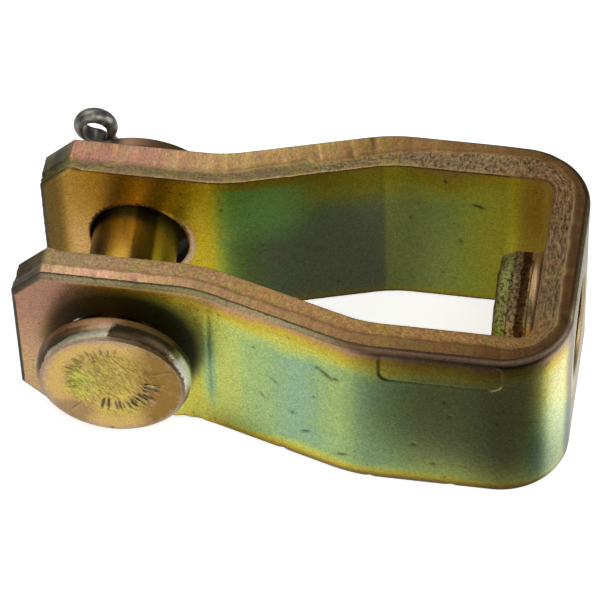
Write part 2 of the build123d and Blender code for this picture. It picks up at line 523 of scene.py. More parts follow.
def in_material(w, shape, material):
    """Geometry made real and given its material."""
    real = w.node("GeometryNodeRealizeInstances", shape)
    return w.node("GeometryNodeSetMaterial", Geometry=real, Material=material)


def round_corners(w, curve, radius, count):
    """A curve with its corners rounded, by so many points at each."""
    settings = {"Curve": curve, "Radius": radius, "Count": count, "Limit Radius": True}
    return w.node("GeometryNodeFilletCurve", mode="POLY", **settings)


def dented(w, shape, given, waves, detail):
    """Geometry with shallow dents, by its group's Dents and Seed, in its material. waves is per mm."""
    place = w.scaled(w.node("GeometryNodeInputPosition"), waves / MM)
    settings = {"Vector": place, "W": given["Seed"], "Detail": detail}
    uneven = w.node("ShaderNodeTexNoise", noise_dimensions="4D", result="Fac", **settings)
    push = w.scaled(w.node("GeometryNodeInputNormal"), uneven * given["Dents"] * -1.0)
    return in_material(w, w.node("GeometryNodeSetPosition", Geometry=shape, Offset=push), given["Material"])


def chromate_film():
    """Shader group: the colour of the yellow chromate on zinc, by the film's thickness."""
    if "Chromate film" in bpy.data.node_groups:
        return bpy.data.node_groups["Chromate film"]
    tree, w, given, gives = new_group(
        "Chromate film", "ShaderNodeTree", {"Thickness": 0.5, "Shade": 1.0}, {"Color": "Color"}
    )
    hues = w.ramp(given["Thickness"], [
        (0.00, (0.34, 0.33, 0.22)), (0.10, (0.62, 0.34, 0.22)), (0.22, (0.66, 0.37, 0.14)),
        (0.34, (0.70, 0.42, 0.06)), (0.46, (0.70, 0.53, 0.04)), (0.58, (0.72, 0.66, 0.09)),
        (0.70, (0.60, 0.70, 0.17)), (0.82, (0.44, 0.62, 0.22)), (0.92, (0.37, 0.57, 0.27)),
        (1.00, (0.34, 0.55, 0.33)),
    ])
    dark = w.math("SUBTRACT", 1.0, given["Shade"], clamp=True)
    w.put(gives["Color"], w.mix(dark, hues, (0.012, 0.014, 0.008)))
    return tree


def plating_grain():
    """Shader group: the fine grain of a plated surface, as a value round 1 and as a height."""
    if "Plating grain" in bpy.data.node_groups:
        return bpy.data.node_groups["Plating grain"]
    tree, w, given, gives = new_group(
        "Plating grain", "ShaderNodeTree", {"Vector": "Vector", "Scale": 3.0, "Amount": 0.2},
        {"Value": "Float", "Height": "Float"},
    )
    fine = w.noise(given["Vector"], given["Scale"], 4.0, 0.65)
    w.put(gives["Value"], (fine - 0.5) * given["Amount"] * 2.0 + 1.0)
    w.put(gives["Height"], fine)
    return tree


def film_colour(w, thickness, shade):
    """The chromate film's colour, placed in a material."""
    return w.node("ShaderNodeGroup", node_tree=chromate_film(), Thickness=thickness, Shade=shade)


def grain(w, vector, scale, amount):
    """The plating's grain, placed in a material: its value and its height."""
    return w.node(
        "ShaderNodeGroup", node_tree=plating_grain(), Vector=vector, Scale=scale, Amount=amount,
        result=("Value", "Height"),
    )


def pinholes(w, vector, scale, radius):
    """How far a place lies in one of the plating's sparse pinholes. radius is a share of their spacing."""
    ragged = w.node("ShaderNodeTexNoise", Vector=vector, Scale=1.6, Detail=2.0, result="Color")
    distance, cell = w.node(
        "ShaderNodeTexVoronoi", Vector=w.vector("ADD", ragged, vector), Scale=scale, Randomness=1.0,
        result=("Distance", "Color"),
    )
    size = w.span(w.node("ShaderNodeSeparateColor", cell), 0.6, 1.0, 0.0, radius)
    return w.span(size - distance, -0.04, 0.06) * 0.6


# ---------------------------------------------------------------- the yoke


def strip_runs(s):
    """The strip's middle line as runs of (length, turn to the left), from the rear ear to the front one."""
    ear_y = (s["jaw_gap"] + s["thickness"]) / 2
    base_y = (s["base_width"] - s["thickness"]) / 2
    tangent = s["waist_radius"] * tan(s["waist_angle"] / 2)
    waist_end = s["waist_start"] + (base_y - ear_y) / tan(s["waist_angle"])
    waist_bend = s["waist_radius"] * s["waist_angle"]
    half = [
        (s["ear_end"] + s["waist_start"] - tangent, 0),
        (waist_bend, s["waist_angle"]),
        ((base_y - ear_y) / sin(s["waist_angle"]) - 2 * tangent, 0),
        (waist_bend, -s["waist_angle"]),
        (s["reach"] - s["thickness"] / 2 - s["base_radius"] - waist_end - tangent, 0),
        (s["base_radius"] * pi / 2, -pi / 2),
    ]
    return [*half, (2 * (base_y - s["base_radius"]), 0), *half[::-1]]


def strip_line(s, step=0.25):
    """Points along the strip's middle line, a step apart, and the line's length."""
    runs = strip_runs(s)
    along = sum(run[0] for run in runs)
    point, heading = complex(-s["ear_end"], (s["jaw_gap"] + s["thickness"]) / 2), 0.0
    points = [point]
    for distance, turn in runs:
        count = ceil(distance / step)
        chord = distance / count * (sin(turn / count / 2) / (turn / count / 2) if turn else 1)
        for _ in range(count):
            heading += turn / count / 2
            point += chord * complex(cos(heading), sin(heading))
            heading += turn / count / 2
            points.append(point)
    return [(p.real, p.imag, 0) for p in points], along


def bend_tree():
    """Geometry Nodes: bends a flat blank along a path. The blank's X runs along the path, its Y across the
    strip and its Z out of the bend."""
    tree, w, given, gives = new_group("Bend blank along path", "GeometryNodeTree", {
        "Blank": "Geometry", "Path": "Object", "Material": "Material",
    }, {"Yoke": "Geometry"})
    path = w.node("GeometryNodeObjectInfo", Object=given["Path"], result="Geometry")
    along, across, out = w.parts(w.node("GeometryNodeInputPosition"))
    on_path, tangent = w.node(
        "GeometryNodeSampleCurve", Curves=path, Length=along, mode="LENGTH", result=("Position", "Tangent")
    )
    outwards = w.vector("NORMALIZE", w.vector("CROSS_PRODUCT", (0, 0, 1), tangent))
    place = w.vector("ADD", on_path, w.scaled(outwards, out))
    place = w.vector("ADD", place, w.node("ShaderNodeCombineXYZ", Z=across))
    moved = w.node("GeometryNodeSetPosition", Geometry=given["Blank"], Position=place)
    w.put(gives["Yoke"], in_material(w, moved, given["Material"]))
    return tree


def moved_in(corners, inset):
    """A convex polygon's corners, anticlockwise, with every side moved inwards."""
    corners = np.asarray(corners, float)
    side = np.roll(corners, -1, 0) - corners
    side /= np.linalg.norm(side, axis=1)[:, None]
    into = np.stack([-side[:, 1], side[:, 0]], 1)
    before = np.roll(into, 1, 0)
    mitre = (into + before) / (1 + (into * before).sum(1))[:, None]
    return corners + mitre * inset, into


def divided(corners, counts):
    """Points round a polygon, each side cut into its own number of equal parts."""
    ends = np.roll(corners, -1, 0)
    return np.vstack([a + (b - a) * (np.arange(n) / n)[:, None] for a, b, n in zip(corners, ends, counts)])


def standing(plan, height):
    """Points of a plan at a height."""
    return np.insert(plan, 2, height, axis=1)


def circle(centre, radius, count):
    """Points round a circle, and the directions out of it."""
    turn = np.arange(count) / count * 2 * pi
    out = np.stack([np.cos(turn), np.sin(turn)], 1)
    return np.asarray(centre) + out * radius, out


def sheared_profile(s, roll, back, lip):
    """A sheared edge's profile from the outer face to the inner one, as rows of (inset, height, cut, torn):
    rolled over where the tool came down, then smooth where it cut, then torn, with a rounded lip."""
    top = s["thickness"] / 2
    rows = [(roll * (1 - sin(a)), top - roll * (1 - cos(a)), a / pi, 0) for a in np.linspace(0, pi / 2, 7)]
    rows += [(0, h, 1, 0) for h in np.linspace(top - roll - 0.35, 0.35, 4)]
    for t in np.linspace(0, 1, 8):
        rows.append((back * (0.5 + 0.5 * t), -0.05 - t * (top - 0.75), 1, min(1, 0.5 + 3 * t)))
    rows += [(back + 0.24 * lip, 0.38 - top, 1, 0.8), (back + 0.52 * lip, 0.1 - top, 0.8, 0.5)]
    return rows + [(back + lip, -top, 0.12, 0)]


EDGE_SPACING = 0.45                         # between the points along the strip's cut edges
FACE_SPACING = 0.72                         # the size of the largest triangles on the strip's faces
HOLE_POINTS = 128                           # round each ear hole and the bore
STRIP_REACH = 102                           # the ramps along the strip run this far from the base's middle
EDGE_LIP = 0.42                             # where the strip's torn edges meet its inner face
HOLE_ROLL, HOLE_LIP = 0.35, 0.06            # at the ear holes' two ends
HOLE_TORN = 0.03                            # how far the torn part of the ear holes' walls stands back
HOLE_TAPER = 0.28                           # how much narrower the ear holes' radius is at the inner face
MOUTH_ROUND = 0.35                          # the rounding round the bore's mouth
TORN_BAND = 2.1                             # half the height in which the line where tearing starts wanders
TEAR_REACH = 2.2                            # how far down from the collar's rim its tear is felt
BASE_CORNER = 17.5                          # the base's inner corners, along the strip from its middle
EAR_TIP = (94.5, 95.5)                      # along the strip, where the ears' sheared ends begin
REAR_STRAP = (-18, -30)                     # along the strip, where the rear strap's sharper edge begins

# marks on the strip's faces: side (1 outer, -1 inner), along, across, half length, half width, turn, depth
MARKS = (
    (1, 49.2, 7.3, 1.3, 0.35, 0.65, 0.16), (1, 47.7, 6.9, 0.5, 0.3, 0.2, 0.14),
    (1, 50.6, 8.2, 0.35, 0.5, 0.9, 0.1), (1, 53.0, -8.8, 0.8, 0.25, -0.5, 0.12),
    (1, 30.4, 1.8, 0.3, 0.3, 0, 0.1), (1, 19.8, 0.8, 1.4, 0.16, 0.5, 0.06),
    (1, 60.5, -3.5, 0.7, 0.25, 0.8, 0.08), (1, 58.3, 1.2, 0.9, 0.2, 0.6, 0.07),
    (1, 55.2, -5.2, 0.3, 0.5, 0, 0.09), (1, 36.0, -6.0, 0.35, 0.3, 0.4, 0.08),
    (1, 47.0, -11.5, 0.9, 0.3, -0.4, 0.12), (1, 33.0, -10.4, 0.4, 0.3, 0, 0.08),
    (-1, -31.0, 7.4, 1.0, 0.22, -0.35, 0.14), (-1, -36.4, 12.6, 0.3, 0.3, 0, 0.1),
    (-1, -33.8, -1.5, 0.25, 0.5, 0.2, 0.1), (-1, -58.4, -3.0, 1.6, 0.1, 0.7, 0.04),
    (-1, -57.6, -2.6, 1.5, 0.1, -0.6, 0.04), (-1, -42.0, 3.0, 0.3, 0.3, 0, 0.08),
    (1, -52.0, 4.0, 1.1, 0.3, 0.5, 0.12), (1, -30.0, -6.0, 0.5, 0.4, 0.2, 0.1),
    (1, 6.0, 13.2, 0.8, 0.3, 0.3, 0.1), (1, -84.0, -12.0, 0.9, 0.25, -0.3, 0.1),
    (-1, 40.0, -5.0, 0.9, 0.3, 0.4, 0.1), (-1, 62.0, 8.0, 0.5, 0.3, 0.1, 0.1),
)
# nicks in the sheared edges: along, which edge (1 upper, -1 lower), height, half length, depth
NICKS = (
    (75.2, -1, 2.4, 0.9, 0.5), (72.6, -1, 2.3, 1.1, 0.6), (57.2, -1, 2.5, 0.5, 0.4),
    (43.0, -1, 2.6, 0.4, 0.3), (30.2, -1, 2.5, 0.5, 0.3), (88.0, 1, 2.3, 0.3, 0.18),
    (81.5, 1, 2.3, 0.4, 0.2), (66.0, 1, 2.3, 0.3, 0.15), (-51.6, 1, 0.6, 0.5, 0.16),
    (-47.8, 1, 1.5, 0.4, 0.16), (-57.0, 1, 1.0, 0.3, 0.12), (-20.0, 1, 2.0, 0.5, 0.15),
    (-60.0, -1, 2.2, 0.8, 0.4), (-35.0, -1, 2.4, 0.6, 0.3), (12.0, 1, 2.2, 0.5, 0.3),
)
# where the tearing starts along the cut edges: along, height
TEAR_LINE = (
    (-101, -1.3), (-80, -1.3), (-62, -0.9), (-58.6, -0.8), (-58.2, -1.4), (-47, -1.2), (-40, 0.0),
    (-30, 0.8), (-20, 0.8), (-12, 0.3), (8, 0.3), (18, 0.5), (26, -0.4), (45, -0.2), (60, 0.0), (101, 0.2),
)
PANEL = (22.8, 41.5, 9.0, 15.0, 1.6)        # the bare stamped panel: along (2), across (2), its corner
CREASES = (69.6, 45.8)                      # press lines on both straps, along
HEAD_SHADOW = (84.0, 1.5, 12.8)              # the painted shadow round the pin's head: along, across, radius


def bump_shape(squared):
    """A rounded bump, 1 in its middle, by the squared distance from it in half widths."""
    return np.exp(-np.minimum(squared, 30))


def panel_distance(plan):
    """How far a point of the outer face lies inside the stamped panel."""
    left, right, low, high, corner = PANEL
    middle = np.array([(left + right) / 2, (low + high) / 2])
    half = np.array([(right - left) / 2, (high - low) / 2]) - corner
    beyond = np.abs(plan - middle) - half
    return corner - np.linalg.norm(np.maximum(beyond, 0), axis=1) - np.minimum(beyond.max(1), 0)


def mark_depth(plan, side):
    """The depth at points of a face from its marks."""
    depth = np.zeros(len(plan))
    for mark_side, along, across, half_length, half_width, turn, deep in MARKS:
        if mark_side == side:
            x, y = plan[:, 0] - along, plan[:, 1] - across
            a = (x * cos(turn) + y * sin(turn)) / half_length
            b = (y * cos(turn) - x * sin(turn)) / half_width
            ragged = 1 + 0.35 * np.sin(7 * a + along) * np.cos(5 * b)
            depth = np.maximum(depth, deep * bump_shape((a * a + b * b) * ragged))
    return depth


def face_detail(plan, side):
    """How fine a face's triangles are at points of its plan: finer at its marks, panel, lines and bends."""
    wanted = np.where(mark_depth(plan, side) > 0.004, 2, 0)
    apart = np.abs(plan[:, 0])
    if side > 0:
        away = np.abs(panel_distance(plan))
        wanted = np.maximum(wanted, np.where(away < 0.5, 2, np.where(away < 1.2, 1, 0)))
        half_fine = [np.abs(apart - crease) < 1.2 for crease in CREASES]
    else:
        half_fine = [np.abs(apart - BASE_CORNER) < 5]
    return np.maximum(wanted, np.any(half_fine, axis=0))


def strip_blank(s):
    """The yoke's flat blank with its holes and its collar, as a shell and the values of its points. Along,
    across and out of the strip are its three axes, from the middle of the base."""
    half = sum(run[0] for run in strip_runs(s)) / 2
    edge, cut_off, top = s["width"] / 2, s["ear_corner"], s["thickness"] / 2
    corners = np.array([
        (cut_off - half, -edge), (half - cut_off, -edge), (half, cut_off - edge), (half, edge - cut_off),
        (half - cut_off, edge), (cut_off - half, edge), (-half, edge - cut_off), (-half, cut_off - edge),
    ])
    counts = np.ceil(np.linalg.norm(np.roll(corners, -1, 0) - corners, axis=1) / EDGE_SPACING).astype(int)
    ears = [np.array([x * (half - s["ear_end"]), 0]) for x in (-1, 1)]
    mouth = s["minor_radius"] + s["lead_in"]

    def room(plan, inset, hole_inset, base_radius):
        """How far points lie from the edges moved in, from the ear holes and from the base's circle."""
        start, into = moved_in(corners, inset)
        inside = np.min([(plan - c) @ n for c, n in zip(start, into)], axis=0)
        for centre in ears:
            inside = np.minimum(inside, np.linalg.norm(plan - centre, axis=1) - s["ear_hole"] - hole_inset)
        return np.minimum(inside, np.linalg.norm(plan, axis=1) - base_radius)

    shell = Shell()
    pushes = divided(moved_in(corners, 1)[0] - corners, counts)
    pushes /= np.linalg.norm(pushes, axis=1)[:, None]
    outline = []
    for inset, height, cut, torn in sheared_profile(s, s["rolled_edge"], s["torn_depth"], EDGE_LIP):
        plan = divided(moved_in(corners, inset)[0], counts)
        outline.append(shell.add(standing(plan, height), standing(pushes, 0), cut, torn))
    holes = []
    for centre in ears:
        rings = []
        for inset, height, cut, torn in sheared_profile(s, HOLE_ROLL, HOLE_TORN, HOLE_LIP):
            narrower = HOLE_TAPER * (0.5 - height / s["thickness"])
            cut = min(cut, 0.1) if height == -top else cut
            plan, out = circle(centre, s["ear_hole"] + inset - narrower, HOLE_POINTS)
            rings.append(shell.add(standing(plan, height), standing(out, 0), cut, 0.1 * torn))
        holes.append(rings)
    collar = collar_rings(shell, s, mouth)
    for rings in (outline, *holes, collar):
        shell.bands(rings)
    collar_foot = s["collar_radius"] + s["collar_root"]
    for side, k, insets in (
        (1, 0, (s["rolled_edge"], HOLE_ROLL, mouth + MOUTH_ROUND)),
        (-1, -1, (s["torn_depth"] + EDGE_LIP, HOLE_TORN + HOLE_LIP - HOLE_TAPER, collar_foot)),
    ):
        shell.skin(
            [outline[k], holes[0][k], holes[1][k], collar[k]], lambda plan: room(plan, *insets),
            FACE_SPACING, lambda plan: face_detail(plan, side), Lift(2, side * top), (0, 0, -side),
        )
    points, inwards, cut, torn = shell.finished()
    distance = np.clip(room(points[:, :2], 0, 0, s["collar_radius"]), 0, 16)
    return shell, points, inwards, cut, torn, distance


def collar_rings(shell, s, mouth):
    """The rings of the tapped bore and its collar, from the outer face's ring to the inner face's."""
    top, pitch = s["thickness"] / 2, s["thread_pitch"]
    rim = -(top + s["collar_height"])
    turn = np.arange(HOLE_POINTS) / HOLE_POINTS
    rings = []

    def ring(radius, height, cut, torn, way=(-1, 0)):
        """One ring: way is the direction into the metal, out along the radius and up."""
        plan, out = circle((0, 0), 1, HOLE_POINTS)
        points = np.column_stack([plan * np.reshape(radius, (-1, 1)), np.broadcast_to(height, HOLE_POINTS)])
        inwards = np.column_stack([out * way[0], np.full(HOLE_POINTS, way[1])])
        rings.append(shell.add(points, inwards, cut, torn))

    ring(mouth + MOUTH_ROUND, top, 0, 0, (0, -1))
    ring(mouth + 0.12, top - 0.04, 0.3, 0, (0.7, -0.7))
    for height in np.arange(top - 0.14, rim + 0.45, -pitch / 13):
        wave = np.abs((height / pitch + turn) % 1 - 0.5) * 2
        groove = smooth_step(0.22, 0.88, wave) * smooth_step(rim + 0.4, rim + 1.6, height)
        cone = s["minor_radius"] + max(0, height - top + s["lead_in"])
        ring(np.maximum(cone, s["minor_radius"] + s["thread_depth"] * groove), height, 1, 0, (1, 0))
    inner, outer, root = s["minor_radius"], s["collar_radius"], s["collar_root"]
    # radius, height, cut and torn, from the torn rim down the collar's wall to its root
    wall = [
        (inner + 0.10, rim + 0.30, 1, 0.6), (inner + 0.30, rim + 0.08, 1, 0.9), (inner + 0.8, rim, 1, 1),
        (outer - 1.5, rim, 1, 1), (outer - 1.15, rim + 0.12, 1, 1), (outer - 0.95, rim + 0.35, 1, 0.8),
    ]
    wall += [(outer - 0.95 + 0.75 * t, rim + 0.35 + 1.75 * t, 1, 0.45) for t in np.linspace(0.08, 1, 9)]
    for t in np.linspace(0.1, 1, 9):
        wall.append((outer - 0.20 + 0.20 * sin(pi * t / 1.2), rim + 2.1 + 1.9 * t, 1, 1))
    for t in np.linspace(0.2, 1, 5):
        wall.append((outer - 0.10 - 0.06 * sin(pi * t), rim + 4.0 + 1.5 * t, 0.7, 0.75 - 0.7 * t))
    for a in np.linspace(0, pi / 2, 10):
        radius = outer + root * (1 - cos(a)) - 0.10 * (1 - a / (pi / 2))
        wall.append((radius, -top - root * (1 - sin(a)), max(0.4 * (1 - a), 0), 0))
    for row in wall:
        ring(*row)
    return rings


def strip_relief(s, points, inwards, cut, torn, distance):
    """Moves the blank's points for its dents, creases, tears and panel, and gives how marked each is and how
    far it lies inside the panel."""
    plan, height = points[:, :2], points[:, 2]
    top, seed = s["thickness"] / 2, s["seed"]
    face = (cut == 0) & (np.abs(np.abs(height) - top) < 1e-6)
    depth, marked = np.zeros(len(points)), np.zeros(len(points))
    ease = smooth_step(0.3, 2.5, distance)
    depth[face] = (0.03 + 0.03 * wander(points[face], 0.13, seed)) * ease[face]
    for side in (1, -1):
        here = face & (height * side > 0)
        marks = mark_depth(plan[here], side)
        depth[here] += marks
        marked[here] = np.minimum(marks / 0.08, 1)
    front = face & (height > 0)
    inside = np.full(len(points), -5.0)
    within = panel_distance(plan[front])
    inside[front] = np.clip(within, -5, 5)
    depth[front] += s["panel_depth"] * smooth_step(-0.10, 0.12, within)
    for crease in CREASES:
        bend = 0.25 * wander(points[front], (0, 0.08, 0), seed + 1)
        away = np.abs(np.abs(plan[front][:, 0]) - crease - bend)
        ends = 1 - smooth_step(9, 15, np.abs(plan[front][:, 1]))
        depth[front] += 0.05 * np.exp(-((away / 0.35) ** 2)) * ends
    # sheared edges: drag lines where smooth, broken metal where torn
    sheared = cut > 0.6
    line = np.column_stack([plan[sheared], height[sheared] * 0.35])
    depth[sheared] += 0.015 + 0.015 * wander(line, 2.2, seed + 2)
    ragged = wander(points[sheared], (1.1, 1.1, 0.8), seed + 3)
    ragged += 0.6 * wander(points[sheared], (2.6, 2.6, 1.6), seed + 4)
    depth[sheared] += torn[sheared] * np.maximum(0, 0.12 + 0.16 * ragged)
    for along, edge, nick_height, half_length, deep in NICKS:
        near = (cut > 0) & (plan[:, 1] * edge > s["width"] / 2 - 2.5)
        a = (plan[near][:, 0] - along) / half_length
        b = (height[near] - nick_height) / 0.9
        dent = deep * bump_shape(a * a + b * b)
        depth[near] += dent
        marked[near] = np.maximum(marked[near], np.minimum(dent / 0.3, 1))
    # the ears' ends are sheared to a sharp inner edge, and the rear strap's outer edge is rolled over less
    inner_side = np.clip(-height / top, 0, 1)
    at_end = smooth_step(*EAR_TIP, np.abs(plan[:, 0])) * inner_side
    depth -= np.where(cut > 0, np.minimum(0.5 * at_end, np.maximum(distance - 0.02, 0)), 0)
    moved = points + inwards * depth[:, None]
    rolled = (cut > 0) & (cut < 0.6) & (height > 0) & (distance < 2)
    moved[rolled, 2] += (0.6 * smooth_step(*REAR_STRAP, plan[:, 0]) * (top - height))[rolled]
    moved[:, 2] += struck_depth(s, plan[:, 0]) * inner_side
    # the line where tearing starts lies higher or lower along the strip, and wanders
    away = np.linalg.norm(plan, axis=1)
    middle = (cut > 0.6) & (np.abs(height) < TORN_BAND) & (away > s["collar_radius"] + 3)
    line = np.interp(plan[middle][:, 0], *np.array(TEAR_LINE).T)
    line += 0.3 * wander(points[middle] * (1, 1, 0), 0.55, seed + 5)
    moved[middle, 2] += line * (1 - (height[middle] / TORN_BAND) ** 2)
    # the collar's rim is torn to an uneven height
    rim = -(top + s["collar_height"])
    low = np.where(height < -top - 0.2, np.clip((rim - height) / TEAR_REACH, -1, 0) + 1, 0)
    around = np.column_stack([plan / np.maximum(away, 1e-6)[:, None] * 3, np.zeros(len(plan))])
    tear = np.zeros(len(points))
    here = low > 0
    tear[here] = 0.25 + 0.22 * wander(around[here], 0.9, seed + 6)
    tear[here] += 0.12 * wander(around[here], 2.8, seed + 7)
    moved[:, 2] += np.maximum(tear, 0) * low
    return moved, marked, inside


def struck_depth(s, along):
    """How much thinner the strip is inside the base's bends, where they are struck sharper than bent."""
    flat_half = (s["base_width"] - s["thickness"]) / 2 - s["base_radius"]
    turn = np.clip((np.abs(along) - flat_half) / s["base_radius"], 0, pi / 2)
    bend, corner = s["base_radius"] - s["thickness"] / 2, s["struck_corner"]
    centre = (bend - corner) * (np.sin(turn) + np.cos(turn))
    rounded = centre + np.sqrt(np.maximum(centre**2 - 2 * (bend - corner) ** 2 + corner**2, 0))
    straight = bend / np.maximum(np.sin(turn), np.cos(turn))
    at_corner = np.minimum(np.tan(np.minimum(turn, pi / 2 - turn)), 1) > (bend - corner) / bend
    return np.where(at_corner, rounded, straight) - bend


class StripPlace:
    """What the yoke's material knows of a place on the strip: where it is, in mm, and how it was formed."""

    def __init__(self, w):
        self.w = w
        self.flat = w.scaled(w.attribute("flat", "Vector"), 1 / MM)
        self.along, self.across, self.height = w.parts(self.flat)
        self.distance, self.cut, self.torn, self.marked, self.inside = (
            w.attribute(name) for name in ("distance", "cut", "torn", "marked", "inside")
        )
        self.clouds = w.noise(self.flat, 0.11, 3.0, 0.55) - 0.5
        self.mottle = w.noise(self.flat, 0.9, 4.0, 0.6) - 0.5
        self.chunks = w.noise(self.flat, (1.9, 1.9, 1.5), 5.0, 0.72)
        self.outer = w.math("GREATER_THAN", self.height, 0.0)
        self.inner = 1.0 - self.outer
        self.apart = abs(self.along)

    def banded(self, stops, value=None):
        """A ramp along the strip. stops are pairs of a place in millimetres and a colour or a number."""
        return self.w.ramp_over(STRIP_REACH, self.along if value is None else value, stops)

    def stain(self):
        """How far a place lies in the painted shadow round the pin's head."""
        along, across, radius = HEAD_SHADOW
        reach = self.w.away(self.along - along, self.across - across) + 2.0 * self.clouds
        return self.w.span(reach, radius + 1.6, radius - 1.6) * self.outer


def film_and_shade(w, p, stain):
    """The thickness of the film on the strip's faces, and the painted shade over it, at a place p."""
    outer_film = p.banded([
        (-100, 0.30), (-78, 0.45), (-60, 0.84), (-40, 0.72), (-24, 0.80), (-8, 0.45), (10.5, 0.80),
        (13, 0.90), (15, 0.60), (18, 0.72), (22, 0.66), (34, 0.74), (43, 0.90), (47, 0.80), (54, 1.0),
        (62, 0.80), (67, 0.66), (74, 0.58), (84, 0.34), (93, 0.13), (101, 0.15),
    ], p.along + 4.0 * p.clouds)
    inner_film = p.banded([
        (-100, 0.22), (-90, 0.28), (-82, 0.40), (-74.2, 0.46), (-73.0, 0.70), (-71, 0.90), (-66, 0.92),
        (-58, 0.84), (-47.0, 0.78), (-46.0, 0.72), (-36, 0.74), (-31, 0.64), (-27.5, 0.54), (-25, 0.50),
        (-23, 0.40), (0, 0.40), (30, 0.6), (60, 0.85), (80, 0.5), (101, 0.3),
    ])
    # painted shade: these two ramps darken the faces along the strip, most on the front strap's wall, at the
    # base and at the ears' ends, where the metal mirrors dark surroundings
    outer_shade = p.banded([
        (-100, 0.92), (-60, 1.0), (-24, 0.75), (-8, 0.6), (8, 0.35), (11, 0.18), (12.8, 0.26), (14.2, 0.98),
        (16.4, 0.96), (18.6, 0.40), (22, 0.44), (30, 0.66), (36, 0.60), (43.5, 0.64), (47.5, 0.9),
        (56, 1.0), (88, 0.95), (96, 0.80), (101, 0.95),
    ])
    inner_shade = p.banded([
        (-101, 0.22), (-98.8, 0.30), (-96.6, 0.95), (-93, 0.95), (-88, 0.62), (-81, 0.58), (-76, 0.95),
        (-74.2, 0.95), (-73.0, 0.70), (-66, 0.60), (-60, 0.48), (-47.0, 0.46), (-46.0, 0.66), (-40, 0.66),
        (-34, 0.56), (-27, 0.60), (-25.4, 1.0), (-24.4, 1.0), (-23.6, 0.88), (0, 0.85), (40, 0.7),
        (101, 0.8),
    ])
    shade = w.mix(p.outer, inner_shade, outer_shade)

    # the film thins towards the cut edges, over a longer way from the upper one
    way = p.distance * w.span(p.across, -4, 4, 2.2, 0.55 + 0.6 * p.outer)
    way = way + 1.5 * p.mottle + 3.0 * p.clouds + 1.3 - 1.3 * p.outer
    way = way + w.span(p.across, -6, -12) * w.span(p.along, 62, 54, 0.5, -0.5)
    limits = [(0, 0.08), (0.08, 0.20), (0.2, 0.44), (0.36, 0.60), (0.50, 0.76), (0.7, 1.0)]
    limit = w.ramp(way / 14.0, limits)
    film = w.math("SMOOTH_MIN", w.mix(p.outer, inner_film, outer_film), limit, 0.1)
    beside_crease = abs(p.apart - CREASES[0])
    creased = w.span(abs(p.across + 1.0), 4.0, 12.0, 1.0, 0.0) * p.outer
    low_corner = p.banded([(10, 0.0), (12.5, 1.0), (18, 1.0), (21, 0.0)])
    film = film + 0.14 * p.clouds + 0.12 * p.mottle + 0.26 * w.span(beside_crease, 2.0, 0.3) * creased
    film = film + low_corner * w.span(p.across, 9, -9, -0.12, 0.22) + 0.10 * stain
    film = film - 0.10 * w.span(p.inside, -0.1, 0.3)

    # painted shade: darker in the press lines, in the painted shadow round the pin's head, in the shadow under
    # the upper edge and at its lip, and at the lower edge
    for darkened in (
        0.28 * w.span(beside_crease, 0.55, 0.1) * creased,
        w.span(p.along, 96, 76, 0.74, 0.91) * stain,
        0.42 * w.span(p.across, 10.5, 15) * w.span(p.apart, 46, 38) * p.outer,
        0.75 * w.span(p.across, 14.2, 14.9) * w.span(p.along, 50, 40) * p.outer,
        0.6 * w.span(p.across, -14.0, -15.2) * w.span(p.apart, 66, 50) * p.outer,
    ):
        shade = shade * (1.0 - darkened)
    return film, shade * (1.0 + 0.25 * w.span(p.inside, 0.0, 0.2))


